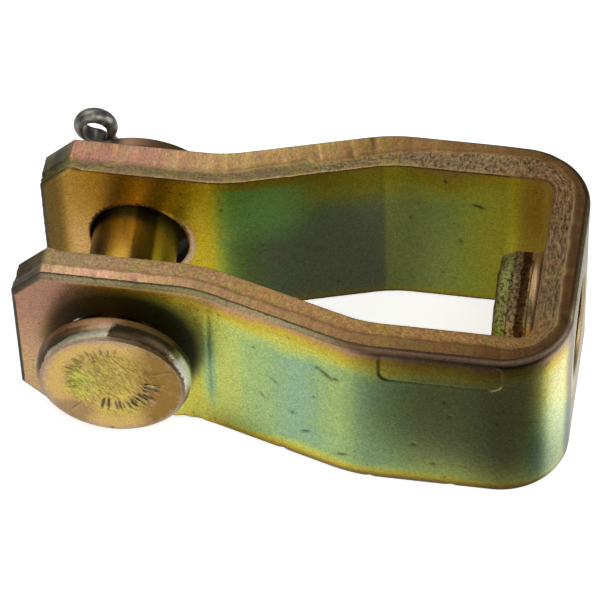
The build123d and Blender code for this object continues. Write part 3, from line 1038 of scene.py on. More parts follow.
def strip_face(w, p, stain):
    """The colour of the strip's faces at a place p."""
    film, shade = film_and_shade(w, p, stain)
    second_bounce = p.banded([(-50, 1.0), (-46, 0.75), (-36, 0.75), (-31, 1.0), (-26, 1.0), (-23, 0.15)])
    face = w.mix(0.8 * p.inner * second_bounce, film_colour(w, film, shade), (1.0, 1.0, 0.3), "MULTIPLY")
    panel_line = w.span(abs(p.inside + 0.02), 0.26, 0.10) * w.span(p.across, 14.2, 12.5)
    dull = w.mix(
        p.outer, p.banded([(-72, 0.0), (-63, 0.7), (-48, 0.75), (-46, 0.3), (-40, 0.25), (-33, 0.0)]),
        p.banded([(-72, 0.0), (-56, 0.25), (-40, 0.0), (19, 0.0), (22, 0.45), (34, 0.35), (42, 0.0)]),
    )
    dull_outside = w.span(abs(p.across), 13.5, 7.0) * p.outer
    dull_inside = w.span(p.across, 12, 3) * w.span(p.across, -15.6, -13.4) * p.inner
    ear_tan = p.banded([(-98, 0.0), (-96, 0.75), (-93, 0.6), (-90, 0.0)]) * w.span(p.across, 8, -2)
    # painted reflection: a pale stripe down the base's front bend, where it mirrors bright light
    pale = p.banded([(13.4, 0.0), (14.5, 0.5), (16, 0.6), (18, 0.0)]) * w.span(p.across, 13, 8)
    vivid = p.banded([(-74, 0.0), (-71, 0.8), (-66, 0.8), (-56, 0.0)]) * w.span(p.across, -2, 6)
    # the outer faces outside the painted shadow round the pin's head
    outside_head_shadow = p.outer * (1.0 - 0.85 * stain)
    low_part = w.span(p.across, 11.5, 10.0, 0.15, 0.7) * w.span(p.along, 23.2, 25.0, 0.2, 1.0)
    return w.layered(
        face,
        (ear_tan * p.inner, (0.78, 0.45, 0.17)),
        # painted shadow along the panel's lower edge, and a painted highlight along its end towards the base
        (panel_line * low_part, (0.03, 0.03, 0.015)),
        (panel_line * w.span(p.along, 25.6, 23.2, 0.0, 0.3), (0.45, 0.42, 0.25)),
        (dull * (dull_outside + dull_inside), w.scaled((0.40, 0.41, 0.28), shade)),
        (pale * p.outer, (0.70, 0.74, 0.46)),
        # painted reflection: the base's outer face made paler, as it mirrors brightly at a grazing angle
        (p.banded([(-14, 0.0), (-8, 0.45), (8, 0.45), (11, 0.0)]) * p.outer, (0.64, 0.54, 0.32)),
        (w.span(p.along, 90, 94) * w.span(p.across, 2, 8, 0.0, 0.6) * outside_head_shadow, (0.42, 0.21, 0.16)),
        (vivid * w.span(p.across, 14.2, 12.5) * p.inner, (0.30, 0.64, 0.16)),
        (w.span(p.along, 87, 92) * w.span(p.across, 3, -5, 0.0, 0.55) * outside_head_shadow, (0.74, 0.50, 0.22)),
    )


def cut_edge(w, p, pits):
    """The colour of the cut edges at a place p: salmon to brown where smooth, grey and rough where torn, and
    painted in shade at the ears' ends.
    """
    smooth = p.banded([
        (-101, (0.05, 0.04, 0.02)), (-97.2, (0.11, 0.09, 0.04)), (-96, (0.56, 0.26, 0.18)),
        (-88, (0.58, 0.28, 0.20)), (-70, (0.74, 0.45, 0.20)), (-60, (0.70, 0.42, 0.17)),
        (-45, (0.54, 0.29, 0.11)), (-30, (0.44, 0.24, 0.09)), (-22, (0.30, 0.15, 0.05)),
        (-10, (0.20, 0.10, 0.04)), (15, (0.18, 0.09, 0.035)), (22, (0.24, 0.12, 0.04)),
        (34, (0.38, 0.20, 0.075)), (52, (0.64, 0.36, 0.16)), (70, (0.62, 0.36, 0.17)),
        (86, (0.86, 0.48, 0.30)), (96, (0.72, 0.44, 0.26)), (97.0, (0.13, 0.09, 0.05)),
        (101, (0.10, 0.07, 0.035)),
    ])
    torn = p.banded([
        (-101, (0.05, 0.05, 0.02)), (-97.2, (0.12, 0.10, 0.04)), (-96, (0.32, 0.24, 0.12)),
        (-60, (0.32, 0.24, 0.12)), (-30, (0.36, 0.24, 0.13)), (-14, (0.34, 0.21, 0.11)),
        (8, (0.30, 0.19, 0.10)), (20, (0.42, 0.24, 0.09)), (32, (0.58, 0.33, 0.12)),
        (60, (0.70, 0.41, 0.18)), (80, (0.62, 0.39, 0.20)), (96, (0.54, 0.38, 0.22)),
        (97.0, (0.17, 0.12, 0.07)), (101, (0.10, 0.07, 0.035)),
    ])
    smooth = w.scaled(smooth, 0.5 + w.noise(p.flat, (0.9, 0.9, 0.12), 3.0, 0.6))
    contrast = p.banded([
        (-101, 0.3), (-62, 0.4), (-56, 0.9), (-20, 0.95), (14, 0.8), (22, 0.35), (101, 0.3),
    ])
    torn = w.scaled(torn, w.span(pits, 0.32, 0.68, -0.8, 0.8) * contrast + 1.0)
    ridge = w.span(p.torn, 0.02, 0.2) * w.span(p.torn, 0.75, 0.35)
    ridge = ridge * p.banded([(-16, 0.0), (-10, 1.0), (14, 1.0), (20, 0.0)])
    tinted = p.banded([(-40, 0.3), (-24, 0.1), (22, 0.1), (40, 0.32), (96, 0.32), (97, 0.04)])
    tints = film_colour(w, w.span(w.noise(p.flat, 0.7, 2.0), 0.32, 0.68, 0.05, 0.75), 0.82)
    return w.layered(
        smooth,
        (w.span(p.torn, 0.05, 0.9), torn),
        (ridge * 0.4, (0.50, 0.38, 0.25)),
        (w.span(w.noise(p.flat, 0.35, 2.0), 0.36, 0.70) * tinted, tints),
    )


def rolled_edge(w, p):
    """The colour of the greenish edge that the shears rolled over, at a place p, with painted shade at the
    ears' ends and along the front strap's wall, and dark on the lower edge.
    """
    rolled = p.banded([
        (-101, (0.04, 0.03, 0.015)), (-97.6, (0.06, 0.045, 0.02)), (-95.8, (0.36, 0.26, 0.13)),
        (-60, (0.40, 0.28, 0.14)), (-20, (0.20, 0.12, 0.05)), (9, (0.20, 0.12, 0.05)),
        (18, (0.11, 0.06, 0.025)), (30, (0.11, 0.06, 0.025)), (44, (0.18, 0.09, 0.04)),
        (52, (0.44, 0.36, 0.16)), (60, (0.58, 0.44, 0.22)), (70, (0.37, 0.30, 0.12)),
        (80, (0.23, 0.20, 0.06)), (90, (0.37, 0.29, 0.14)), (96, (0.30, 0.23, 0.12)),
        (97.2, (0.14, 0.11, 0.06)), (101, (0.09, 0.06, 0.03)),
    ])
    return w.mix(w.span(p.across, 2, -2), w.scaled(rolled, 0.1 + 1.8 * p.chunks), (0.05, 0.03, 0.015))


def collar_colour(w, p):
    """The collar's colour at a place p: green towards its rim, then rough, then dark, partly painted shade,
    and bright at the base, a painted highlight on its root.
    """
    level = p.height + p.mottle + 1.2 * p.clouds
    collar = w.ramp(w.span(level, -10.6, -3.0), [
        (0, (0.34, 0.28, 0.09)), (0.10, (0.64, 0.64, 0.20)), (0.24, (0.64, 0.62, 0.20)),
        (0.30, (0.34, 0.22, 0.09)), (0.36, (0.70, 0.47, 0.23)), (0.50, (0.60, 0.40, 0.19)),
        (0.56, (0.14, 0.06, 0.015)), (0.76, (0.17, 0.075, 0.02)), (0.84, (0.95, 0.62, 0.28)),
        (1, (1.0, 0.62, 0.36)),
    ])
    shards = w.span(w.noise(p.flat, 2.1, 2.0, 0.6), 0.36, 0.56, -0.62, 0.40)
    collar = w.scaled(collar, w.span(level, -4.6, -5.4) * shards + 1.0)
    # painted shade: darker on the collar's upper side
    return w.scaled(collar, w.span(p.across, 5.5, 9.5, 1.0, 0.45))


def yoke_material():
    """Yellow chromate over bent strip: coloured bands on its faces, salmon to brown on its cut edges."""
    material, w, shader = new_material("Yoke plating")
    p = StripPlace(w)
    # painted shadow of the pin's head on the front ear: darker, with thicker film and rougher there
    stain = p.stain()
    drawn = w.noise(p.flat, (0.7, 0.7, 2.8), 4.0, 0.68)
    pits = w.mix(p.banded([(-24, 0.0), (-18, 1.0), (12, 1.0), (20, 0.0)]), p.chunks, drawn)
    worn = p.cut + 0.35 * (p.chunks - 0.5)
    rolled_over = w.span(p.cut, 0.02, 0.14)
    # a ragged dark line where the rolled edge meets the cut face, strongest along the front strap
    dark_edge_line = w.span(worn, 0.36, 0.44) * w.span(worn, 0.60, 0.50) * p.banded([
        (-40, 0.0), (-20, 0.35), (10, 0.35), (20, 0.7), (30, 0.9), (44, 0.6), (52, 0.85), (101, 0.9),
    ])
    on_collar = w.span(p.height, -3.0, -3.2) * w.span(p.apart, 14.2, 13.2)
    bore_mouth = w.span(p.height, 2.2, 3.2) * w.span(p.distance, 0.5, 0.2) * w.span(p.apart, 13, 12)
    # the ear holes: pale at the edge towards the base, their walls in shadow of the pin
    pale_edge = w.span(p.distance, 0.95, 0.75) * w.span(abs(p.across), 8.0, 7.0) * w.span(p.apart, 82, 79)
    pale_edge = pale_edge * w.span(p.apart, 74, 75) * w.span(p.cut, 0.3, 0.1, 0.0, 0.85)
    in_hole = w.math("MAXIMUM", w.span(p.cut, 0.5, 0.8), p.outer * w.span(p.cut, 0.02, 0.12))
    in_hole = in_hole * w.span(abs(p.across), 10.0, 9.0) * w.span(p.apart, 70, 75)
    base = w.layered(
        strip_face(w, p, stain),
        (rolled_over, rolled_edge(w, p)),
        (w.span(worn, 0.44, 0.58), cut_edge(w, p, pits)),
        (dark_edge_line, (0.04, 0.03, 0.015)),
        (on_collar, collar_colour(w, p)),
        (bore_mouth, (0.55, 0.46, 0.24)),
        (pale_edge, (0.66, 0.46, 0.32)),
        (in_hole * 0.9, (0.03, 0.02, 0.01)),
    )
    value, height_grain = grain(w, p.flat, 3.2, 0.8)
    base = w.layered(
        w.scaled(base, value),
        (pinholes(w, p.flat, 0.5, 0.17) * w.span(p.cut, 0.3, 0.1), (0.06, 0.05, 0.03)),
        (p.marked * 0.7, (0.05, 0.045, 0.025)),
    )
    matt = rolled_over * w.span(worn, 0.56, 0.44) * p.banded([(8, 0.0), (12, 0.85), (46, 0.85), (53, 1.0)])
    corner_inside = p.banded([(-27, 0.0), (-24, 0.3), (-8, 0.3), (0, 0.0)]) * p.inner
    rough = w.span(p.torn, 0, 0.6, 0.27, 0.5) + 0.16 * p.mottle + w.span(p.cut, 0.2, 0.8, 0.0, 0.12)
    rough = rough + 0.2 * matt + 0.22 * stain + corner_inside
    normal = w.bump(height_grain + 4.0 * pits * p.torn, 0.45, 0.07)
    join(w, shader, Base_Color=base, Metallic=0.92 - 0.6 * matt, Roughness=rough, Normal=normal)
    return material


class ROD_END_OT_yoke(bpy.types.Operator):
    """Builds the yoke: a flat blank with its holes and collar, bent along the strip's middle line"""

    bl_idname = "rod_end.yoke"
    bl_label = "Yoke"

    def execute(self, context):
        s = in_mm(context.scene.rod_end_yoke)
        shell, points, inwards, cut, torn, distance = strip_blank(s)
        moved, marked, inside = strip_relief(s, points, inwards, cut, torn, distance)
        line, along = strip_line(s)
        blank = mesh_of("blank", moved + np.array([along / 2, 0, 0]), shell.faces, {
            "flat": points * MM, "cut": cut, "torn": torn, "distance": distance, "marked": marked,
            "inside": inside,
        })
        path = in_scene("strip_path", poly_curve("strip_path", line))
        material = yoke_material()
        mesh = through_nodes(bend_tree(), blank, {"Path": path, "Material": material})
        bpy.data.objects.remove(path)
        new_piece("yoke", mesh, material, "yoke", "clevis")
        return {"FINISHED"}


# ---------------------------------------------------------------- the clevis pin

PIN_POINTS = 192                            # round the pin
BEVEL_START = radians(24)                   # how far round its rounding the head's bevel starts
STROKES = {"centre": (1.4, -0.3), "radius": 6.4, "upper": (78, 204, 31), "lower": (-108, -12, 15)}
SCRAPES = (                                 # on the head: up, aside, half length, half width, turn, depth
    (-5.8, -6.1, 1.5, 0.14, 0.85, 0.14), (3.4, 7.2, 1.1, 0.2, 0.25, 0.12), (3.9, 8.9, 1.0, 0.16, 0.1, 0.1),
    (-2.4, 6.0, 1.5, 0.22, -1.0, 0.12), (0.5, -1.5, 1.6, 0.1, -0.8, 0.05),
    (-0.6, -0.4, 1.4, 0.1, -0.8, 0.05), (1.8, 0.8, 1.3, 0.1, -0.75, 0.04),
)
# dents in the head's rim: turn in degrees, height past the bevel, half width, depth
RIM_DENTS = ((-28, -0.3, 0.7, 0.35), (70, 0, 0.4, 0.15), (150, 0.8, 0.5, 0.15))


def stroke_list(seed):
    """The strokes left round the head's middle when it was struck, as rows of their middle, direction, half
    length, half width and depth."""
    draw = np.random.default_rng(seed)
    up, aside = STROKES["centre"]
    strokes = []
    for name, half_length, half_width, depth in (("upper", 0.80, 0.13, 0.17), ("lower", 1.05, 0.17, 0.30)):
        first, last, count = STROKES[name]
        for turn in np.radians(np.linspace(first, last, count)):
            turn += draw.uniform(-0.06, 0.06)
            out = np.array([sin(turn), cos(turn)])
            middle = np.array([up, aside]) + out * (STROKES["radius"] + draw.uniform(-0.45, 0.45))
            size = draw.uniform(0.6, 1.25)
            width = half_width * draw.uniform(0.6, 1.4)
            strokes.append((middle, out, half_length * size, width, depth * size))
    for up, aside, half_length, half_width, turn, depth in SCRAPES:
        out = np.array([sin(turn), cos(turn)])
        strokes.append((np.array([up, aside]), out, half_length, half_width, depth))
    return strokes


def stroke_depth(plan, strokes):
    """The depth at points of the head's face from its strokes, and the height of the burrs beside them."""
    depth, burr = np.zeros(len(plan)), np.zeros(len(plan))
    for middle, out, half_length, half_width, deep in strokes:
        away = plan - middle
        a = (away @ out) / half_length
        b = (away @ np.array([-out[1], out[0]])) / half_width + 0.5 * a * a
        depth = np.maximum(depth, deep * bump_shape(a**4 + b * b))
        burr = np.maximum(burr, 0.3 * deep * bump_shape(a**4 + ((b - 2.0) / 0.8) ** 2))
    return depth, burr


def pin_profile(s, face_at, face_radius):
    """The clevis pin's profile from face to tail, as rows of radius, height and way into the metal."""
    head, under = s["head_radius"], -s["head_underside"]
    shank, tail, chamfer = s["radius"], s["tail_end"], s["tail_chamfer"]
    profile = [(face_radius - 0.15, face_at, (0, 1)), (face_radius - 0.03, face_at + 0.02, (-0.2, 1))]
    for t in np.linspace(BEVEL_START, pi / 2, 14):
        out = (sin(t) - sin(BEVEL_START)) / (1 - sin(BEVEL_START))
        down = (1 - cos(t) - 0.0865) / 0.9135
        radius = face_radius + 0.04 + (s["bevel_width"] - 0.04) * out
        profile.append((radius, face_at + 0.08 + (2 * s["bevel_depth"] - 0.08) * down, (-sin(t), cos(t))))
    bevel_end = face_at + 2 * s["bevel_depth"]
    profile += [(head, h, (-1, 0)) for h in np.linspace(bevel_end + 0.2, under - 0.4, 3)]
    profile += [(head - 0.06, under - 0.2, (-1, 0)), (head - 0.22, under - 0.05, (-0.7, -0.7))]
    profile += [(radius, under, (0, -1)) for radius in (head - 0.5, head - 1.8, head - 3.2, shank + 0.9)]
    profile += [(shank + 0.25, under + 0.08, (-0.7, -0.7)), (shank + 0.06, under + 0.28, (-1, 0))]
    profile += [(shank, h, (-1, 0)) for h in np.linspace(under + 0.6, tail - chamfer - 0.15, 52)]
    profile += [(shank - 0.06, tail - chamfer + 0.03, (-0.9, -0.4))]
    for t in np.linspace(0.15, 0.92, 4):
        profile.append((shank - chamfer * t, tail - chamfer * (1 - t), (-0.7, -0.7)))
    return profile + [(shank - chamfer - 0.08, tail, (0, -1))]


def pin_shell(s):
    """The clevis pin as a shell, its axis along Z from head to tail, with the values of its points."""
    shell, seed, under = Shell(), s["seed"], -s["head_underside"]
    face_at = under - s["head_thickness"]
    face_radius = s["head_radius"] - s["bevel_width"]
    tail_radius = s["radius"] - s["tail_chamfer"] - 0.08
    rings = []
    for radius, height, way in pin_profile(s, face_at, face_radius):
        plan, out = circle((0, 0), radius, PIN_POINTS)
        inwards = np.column_stack([out * way[0], np.full(PIN_POINTS, way[1])])
        rings.append(shell.add(standing(plan, height), inwards))
    shell.bands(rings)
    strokes = stroke_list(seed)
    wide_strokes = [(middle, out, length * 1.2, width * 2.4, 1) for middle, out, length, width, _ in strokes]

    def face_level(plan):
        """How fine the triangles of the head's face are: finer in its struck middle and at its strokes."""
        middle = np.linalg.norm(plan - np.array(STROKES["centre"]), axis=1)
        return np.where(stroke_depth(plan, wide_strokes)[0] > 0.05, 2, np.where(middle < 7.5, 1, 0))

    for ring, radius, height, level, way in (
        (rings[0], face_radius - 0.12, face_at, face_level, (0, 0, 1)),
        (rings[-1], tail_radius, s["tail_end"], lambda plan: np.zeros(len(plan)), (0, 0, -1)),
    ):
        shell.skin(
            [ring], lambda plan: radius - np.linalg.norm(plan, axis=1), 0.6, level, Lift(2, height), way
        )

    points, inwards, _, _ = shell.finished()
    depth = 0.02 + 0.02 * wander(points, 0.35, seed)
    on_face = points[:, 2] < face_at + 0.01
    face_points, plan = points[on_face], points[on_face][:, :2]
    pressed = 1 - smooth_step(4.5, 7.8, np.linalg.norm(plan - np.array(STROKES["centre"]), axis=1))
    strokes_here, burrs_here = stroke_depth(plan, strokes)
    rough = wander(face_points, 1.3, seed + 1) + 0.7 * wander(face_points, 3.1, seed + 2)
    ease = smooth_step(0, 1.2, face_radius - np.linalg.norm(plan, axis=1))
    sunk = 0.05 + 0.04 * wander(face_points, 0.2, seed + 3) + pressed * (0.05 + 0.035 * rough)
    depth[on_face] += ease * sunk
    depth[on_face] += strokes_here - burrs_here
    rim = (points[:, 2] < under) & ~on_face
    depth[rim] += np.maximum(0, 0.10 * wander(points[rim], 0.4, seed + 4) - 0.02)
    for turn, past, half, deep in RIM_DENTS:
        out = s["head_radius"] * np.array([sin(radians(turn)), cos(radians(turn))])
        spot = np.array([*out, face_at + s["bevel_depth"] + past])
        away = np.linalg.norm(points[rim] - spot, axis=1) / half
        depth[rim] += deep * bump_shape(away**2)
    marked, raised = np.zeros(len(points)), np.zeros(len(points))
    marked[on_face] = np.minimum(strokes_here / 0.22, 1)
    raised[on_face] = np.minimum(burrs_here / 0.08, 1)
    return points + inwards * depth[:, None], shell.faces, {"marked": marked, "raised": raised}


def pin_frame():
    """The turn and shift that stand a shape made round Z along the pin's axis, with X upright."""
    up = Vector((0, 0, 1))
    axes = Matrix((up, PIN_AXIS.cross(up), PIN_AXIS)).transposed().to_4x4()
    return Matrix.Translation(PIN_MIDDLE * MM) @ axes


def leaning(lean):
    """The upright, leaned round the pin's axis: the way in which the split pin stands."""
    upright = Vector((0, 0, 1))
    upright.rotate(Matrix.Rotation(-lean, 3, PIN_AXIS))
    return upright


def bored(mesh, centre, direction, radius, reach):
    """The mesh with a round hole through it. centre and sizes are in millimetres."""
    work = bmesh.new()
    place = Matrix.Translation(centre * MM) @ direction.to_track_quat("Z", "Y").to_matrix().to_4x4()
    size = radius * MM
    bmesh.ops.create_cone(
        work, cap_ends=True, segments=64, radius1=size, radius2=size, depth=2 * reach * MM, matrix=place
    )
    drill_mesh = bpy.data.meshes.new("drill")
    work.to_mesh(drill_mesh)
    work.free()
    drill, carrier = in_scene("drill", drill_mesh), in_scene("carrier", mesh)
    cut = carrier.modifiers.new("Bore", "BOOLEAN")
    cut.operation, cut.object, cut.solver = "DIFFERENCE", drill, "EXACT"
    result = as_modified(carrier)
    bpy.data.objects.remove(drill)
    return result


def pin_head_face(w, here, aside, up, radius, uneven, mottle):
    """The colour of the head's face: greenish gold on the left, bright at its edge, brown on the right."""
    off_middle = w.away(aside + 5.0, up)
    face = w.mix(w.span(off_middle + uneven, 4.5, 1.5), (0.57, 0.42, 0.088), (0.58, 0.54, 0.09))
    worn_patch = w.vector("DISTANCE", here, (-7.0, -21.0, -7.0), result="Value")
    return w.layered(
        w.scaled(face, w.span(up, 1.0, -5.0, 1.0, 1.22)),
        (w.span(radius + uneven, 6.8, 8.8), (0.80, 0.54, 0.16)),
        (w.span(radius + uneven, 9.6, 10.8), (0.64, 0.42, 0.25)),
        (w.span(aside + uneven, 2.0, 7.0, 0.0, 0.92), (0.31, 0.175, 0.028)),
        (w.span(worn_patch + uneven, 4.6, 2.2, 0.0, 0.8), (0.40, 0.25, 0.12)),
        (w.span(w.noise(here, 0.42, 3.0, 0.6), 0.50, 0.66, 0.0, 0.4), (0.62, 0.33, 0.19)),
        (w.span(radius + mottle, 10.75, 11.0, 0.0, 0.6), (0.46, 0.34, 0.26)),
    )


def pin_shank(w, aside, up, along, clouds, mottle):
    """The colour of the shank, with painted shade and light in bands along it."""
    around = w.degrees(aside, up) + 6.0 * mottle
    film = w.ramp_over(180, around, [(-60, 0.36), (-20, 0.36), (6, 0.34), (40, 0.44), (90, 0.46)])
    shade = w.ramp_over(180, around, [
        (-180, 0.6), (-60, 0.14), (-46, 0.10), (-34, 0.30), (-24, 0.55), (-14, 0.9), (2, 0.95), (8, 0.22),
        (16, 0.14), (32, 0.16), (38, 0.6), (50, 0.7), (70, 1.0), (95, 0.9), (180, 0.6),
    ])
    shade = w.mix(w.span(along, 23.4, 23.7), shade, (0.75, 0.75, 0.75))
    return film_colour(w, film + 0.20 * clouds + 0.16 * mottle, shade)


def pin_shoulder(w, round_head, depth, level, mottle):
    """The colour of the head's shoulder, with painted reflections: pale at the upper left, dark at the upper
    right, a painted highlight on the right, and painted shade at the underside. depth is from the head's face,
    and level is the same with a wandering line."""
    edge = round_head([
        (-180, (0.50, 0.36, 0.22)), (-60, (0.55, 0.42, 0.26)), (-20, (0.40, 0.28, 0.13)),
        (0, (0.24, 0.17, 0.08)), (24, (0.24, 0.17, 0.06)), (40, (0.24, 0.15, 0.05)),
        (84, (0.30, 0.20, 0.09)), (92, (0.46, 0.36, 0.22)), (105, (0.50, 0.36, 0.23)),
        (180, (0.50, 0.35, 0.21)),
    ])
    deep = round_head([
        (-180, (0.40, 0.28, 0.15)), (-60, (0.50, 0.36, 0.18)), (-14, (0.34, 0.24, 0.10)),
        (-4, (0.62, 0.54, 0.34)), (8, (1.0, 0.96, 0.88)), (28, (1.0, 0.96, 0.84)), (36, (0.50, 0.42, 0.24)),
        (45, (0.07, 0.05, 0.025)), (91, (0.06, 0.04, 0.02)), (94, (0.64, 0.44, 0.30)),
        (106, (0.44, 0.29, 0.16)), (118, (0.16, 0.10, 0.04)), (166, (0.12, 0.07, 0.03)),
        (180, (0.36, 0.24, 0.12)),
    ])
    side = round_head([
        (-30, (0.30, 0.22, 0.12)), (0, (0.07, 0.05, 0.02)), (36, (0.08, 0.06, 0.02)),
        (50, (0.26, 0.19, 0.08)), (82, (0.26, 0.17, 0.09)), (94, (0.50, 0.30, 0.18)),
        (112, (0.46, 0.28, 0.13)), (142, (0.34, 0.20, 0.09)), (158, (0.20, 0.12, 0.06)),
        (180, (0.14, 0.09, 0.04)),
    ])
    pale_reach = round_head([(92, 0.0), (94.5, 1.30), (112, 1.10), (140, 0.75), (165, 0.3), (180, 0.2)])
    # painted reflection: the pale crescent at the upper left, partly a paler film
    pale = w.mix(w.span(mottle, -0.12, 0.12), (0.50, 0.50, 0.36), (0.62, 0.54, 0.38))
    return w.layered(
        deep,
        (w.span(level - pale_reach, 0.12, -0.12), pale),
        (w.span(level, 0.45, 0.30), edge),
        (w.span(level, 2.2, 2.7), side),
        # painted shade on the rounding towards the head's underside
        (w.span(depth, 3.4, 3.8), (0.03, 0.02, 0.01)),
    )


def pin_material(s):
    """Yellow chromate over a turned shank and a struck head. s holds the pin's sizes."""
    material, w, shader = new_material("Pin plating")
    here = w.places(PIN_MIDDLE, PIN_TURN)
    aside, along, up = w.parts(here)
    radius = w.away(aside, up)
    clouds = w.noise(here, 0.16, 3.0, 0.55) - 0.5
    mottle = w.noise(here, 1.1, 4.0, 0.6) - 0.5
    uneven = 2.5 * clouds + 2.5 * mottle
    face_at = -(s["head_underside"] + s["head_thickness"])
    depth = w.node("ShaderNodeMapRange", along, face_at, face_at + 4.0, 0.0, 4.0)
    level = depth + 0.5 * mottle
    around = w.degrees(up, aside) + 2.5 * depth + 14.0 * mottle

    def round_head(stops):
        """A ramp round the head. stops are pairs of an angle in degrees and a colour or a number."""
        return w.ramp_over(180, around, stops)

    on_head = w.span(along, -20.9, -21.3)
    on_shoulder = w.span(radius, 10.98, 11.1) * w.span(along, -17.2, -17.4)
    base = w.layered(
        pin_shank(w, aside, up, along, clouds, mottle),
        (on_head, pin_head_face(w, here, aside, up, radius, uneven, mottle)),
        (on_shoulder, pin_shoulder(w, round_head, depth, level, mottle)),
    )
    slanted = w.node("ShaderNodeMapping", Vector=here, Rotation=(0, 0.62, 0))
    scratches = w.noise(slanted, (3.4, 1.0, 0.9), 3.0, 0.7)
    struck = on_head * w.span(radius, 8.5, 6.5)
    value, height_grain = grain(w, here, 3.6, 0.7)
    base = w.scaled(w.scaled(base, struck * w.span(scratches, 0.34, 0.66, -0.42, 0.34) + 1.0), value)
    base = w.layered(
        base,
        (w.attribute("marked") * 0.85, (0.10, 0.06, 0.02)),
        (w.attribute("raised") * 0.40, (0.88, 0.74, 0.44)),
        (pinholes(w, here, 0.5, 0.16), (0.08, 0.06, 0.03)),
    )
    turned = w.noise(here, (0.4, 5.0, 0.4), 2.0) * w.span(along, -18, -17.5, 0.0, 0.6)
    normal = w.bump(height_grain + turned + 1.6 * struck * scratches, 0.45, 0.07)
    duller = round_head([(-180, 0.2), (-20, 0.0), (30, 0.0), (50, 0.2), (180, 0.2)]) * on_shoulder
    rough = w.span(radius, 10.5, 11.2, 0.30, 0.22) + 0.15 * mottle + duller
    # the painted highlight on the shoulder's right is made less metallic, so that its painted colour shows
    highlight_matt = on_shoulder * round_head([(-10, 0.0), (2, 0.5), (28, 0.5), (38, 0.0)])
    highlight_matt = highlight_matt * w.span(level, 0.25, 0.5) * w.span(level, 2.2, 1.9)
    join(w, shader, Base_Color=base, Metallic=0.92 - highlight_matt, Roughness=rough, Normal=normal)
    return material


class ROD_END_OT_clevis_pin(bpy.types.Operator):
    """Builds the clevis pin, with the strokes on its struck head and the hole for the split pin"""

    bl_idname = "rod_end.clevis_pin"
    bl_label = "Clevis pin"

    def execute(self, context):
        s = in_mm(context.scene.rod_end_pin)
        mesh = mesh_of("clevis_pin", *pin_shell(s))
        mesh.transform(pin_frame())
        upright = leaning(context.scene.rod_end_split_pin.lean)
        hole_middle = PIN_MIDDLE + PIN_AXIS * s["cross_hole_at"]
        mesh = bored(mesh, hole_middle, upright, s["cross_hole"], 2 * s["radius"])
        new_piece("pin", mesh, pin_material(s), "pin", "clevis_pin")
        return {"FINISHED"}


# ---------------------------------------------------------------- the split pin


def wire_line(s, pin_radius, step=0.2):
    """Points of the wire's flat inner face in its own plane: up one leg, round the eye, down the other."""
    leg, eye, neck = s["slit"] / 2, s["eye_radius"], s["neck_radius"]
    bend_radius, splay = s["leg_radius"], s["splay"]
    eye_y = pin_radius + s["eye_height"]
    neck_x = leg + neck
    neck_y = eye_y - sqrt((neck + eye) ** 2 - neck_x**2)
    bend_y = -(pin_radius + s["leg_clearance"])
    around = asin(neck_x / (neck + eye))     # from straight down to where the eye runs into a neck bend

    def arc(centre, radius, start, end):
        """Points round an arc, its angles from straight up."""
        x, y = centre
        turns = np.linspace(start, end, max(3, ceil(abs(end - start) * radius / step)))
        return [(x + radius * sin(a), y + radius * cos(a)) for a in turns]

    def side_of(side, straight):
        """One side from its tip up to the eye. straight is its tip's length past the leg's bend."""
        tip = np.array([
            leg + bend_radius * (1 - cos(splay)) + straight * sin(splay),
            bend_y - bend_radius * sin(splay) - straight * cos(splay),
        ])
        bend = arc((leg + bend_radius, bend_y), bend_radius, -pi / 2 - splay, -pi / 2)
        run = [tuple(tip + (np.array(bend[0]) - tip) * t) for t in np.linspace(0, 0.95, 12)]
        leg_run = [(leg, y) for y in np.linspace(bend_y, neck_y, 60)[1:-1]]
        necks = arc((neck_x, neck_y), neck, -pi / 2, -around)
        return [(side * x, y) for x, y in run + bend + leg_run + necks]

    ring = arc((0, eye_y), eye, -pi + around, pi - around)[1:-1]
    return side_of(-1, s["long_tip"]) + ring + side_of(1, s["short_tip"])[::-1]


def wire_tree():
    """Geometry Nodes: sweeps a half-round wire along a flat curve, its flat face on the curve."""
    tree, w, given, gives = new_group("Half-round wire", "GeometryNodeTree", {
        "Line": "Geometry", "Radius": 1.5 * MM, "Corner": 0.12 * MM, "Dents": 0.03 * MM, "Seed": 3.0,
        "Material": "Material",
    }, {"Wire": "Geometry"})
    line = w.node("GeometryNodeSetCurveNormal", Curve=given["Line"], mode="Z_UP")
    arc = w.node(
        "GeometryNodeCurveArc", Resolution=28, Radius=given["Radius"], Start_Angle=pi / 2, Sweep_Angle=pi,
        mode="RADIUS", result="Curve",
    )
    half_round = w.node("GeometryNodeSetSplineCyclic", Geometry=arc, Cyclic=True)
    profile = round_corners(w, half_round, given["Corner"], 3)
    swept = w.node("GeometryNodeCurveToMesh", Curve=line, Profile_Curve=profile, Fill_Caps=True)
    w.put(gives["Wire"], dented(w, swept, given, 0.7, 2.0))
    return tree


def split_pin_material():
    """Bright zinc on drawn wire, dull and scuffed."""
    material, w, shader = new_material("Split pin zinc")
    here = w.places()
    mottle = w.noise(here, 0.9, 4.0, 0.65)
    tone = w.ramp(mottle, [
        (0.3, (0.10, 0.10, 0.085)), (0.48, (0.22, 0.21, 0.185)), (0.62, (0.34, 0.33, 0.30)),
        (0.75, (0.52, 0.51, 0.48)),
    ])
    value, height_grain = grain(w, here, 5.0, 0.4)
    normal = w.bump(height_grain + 1.5 * mottle, 0.45, 0.06)
    rough = 0.2 + 0.3 * mottle
    join(w, shader, Base_Color=w.scaled(tone, value), Metallic=0.9, Roughness=rough, Normal=normal)
    return material


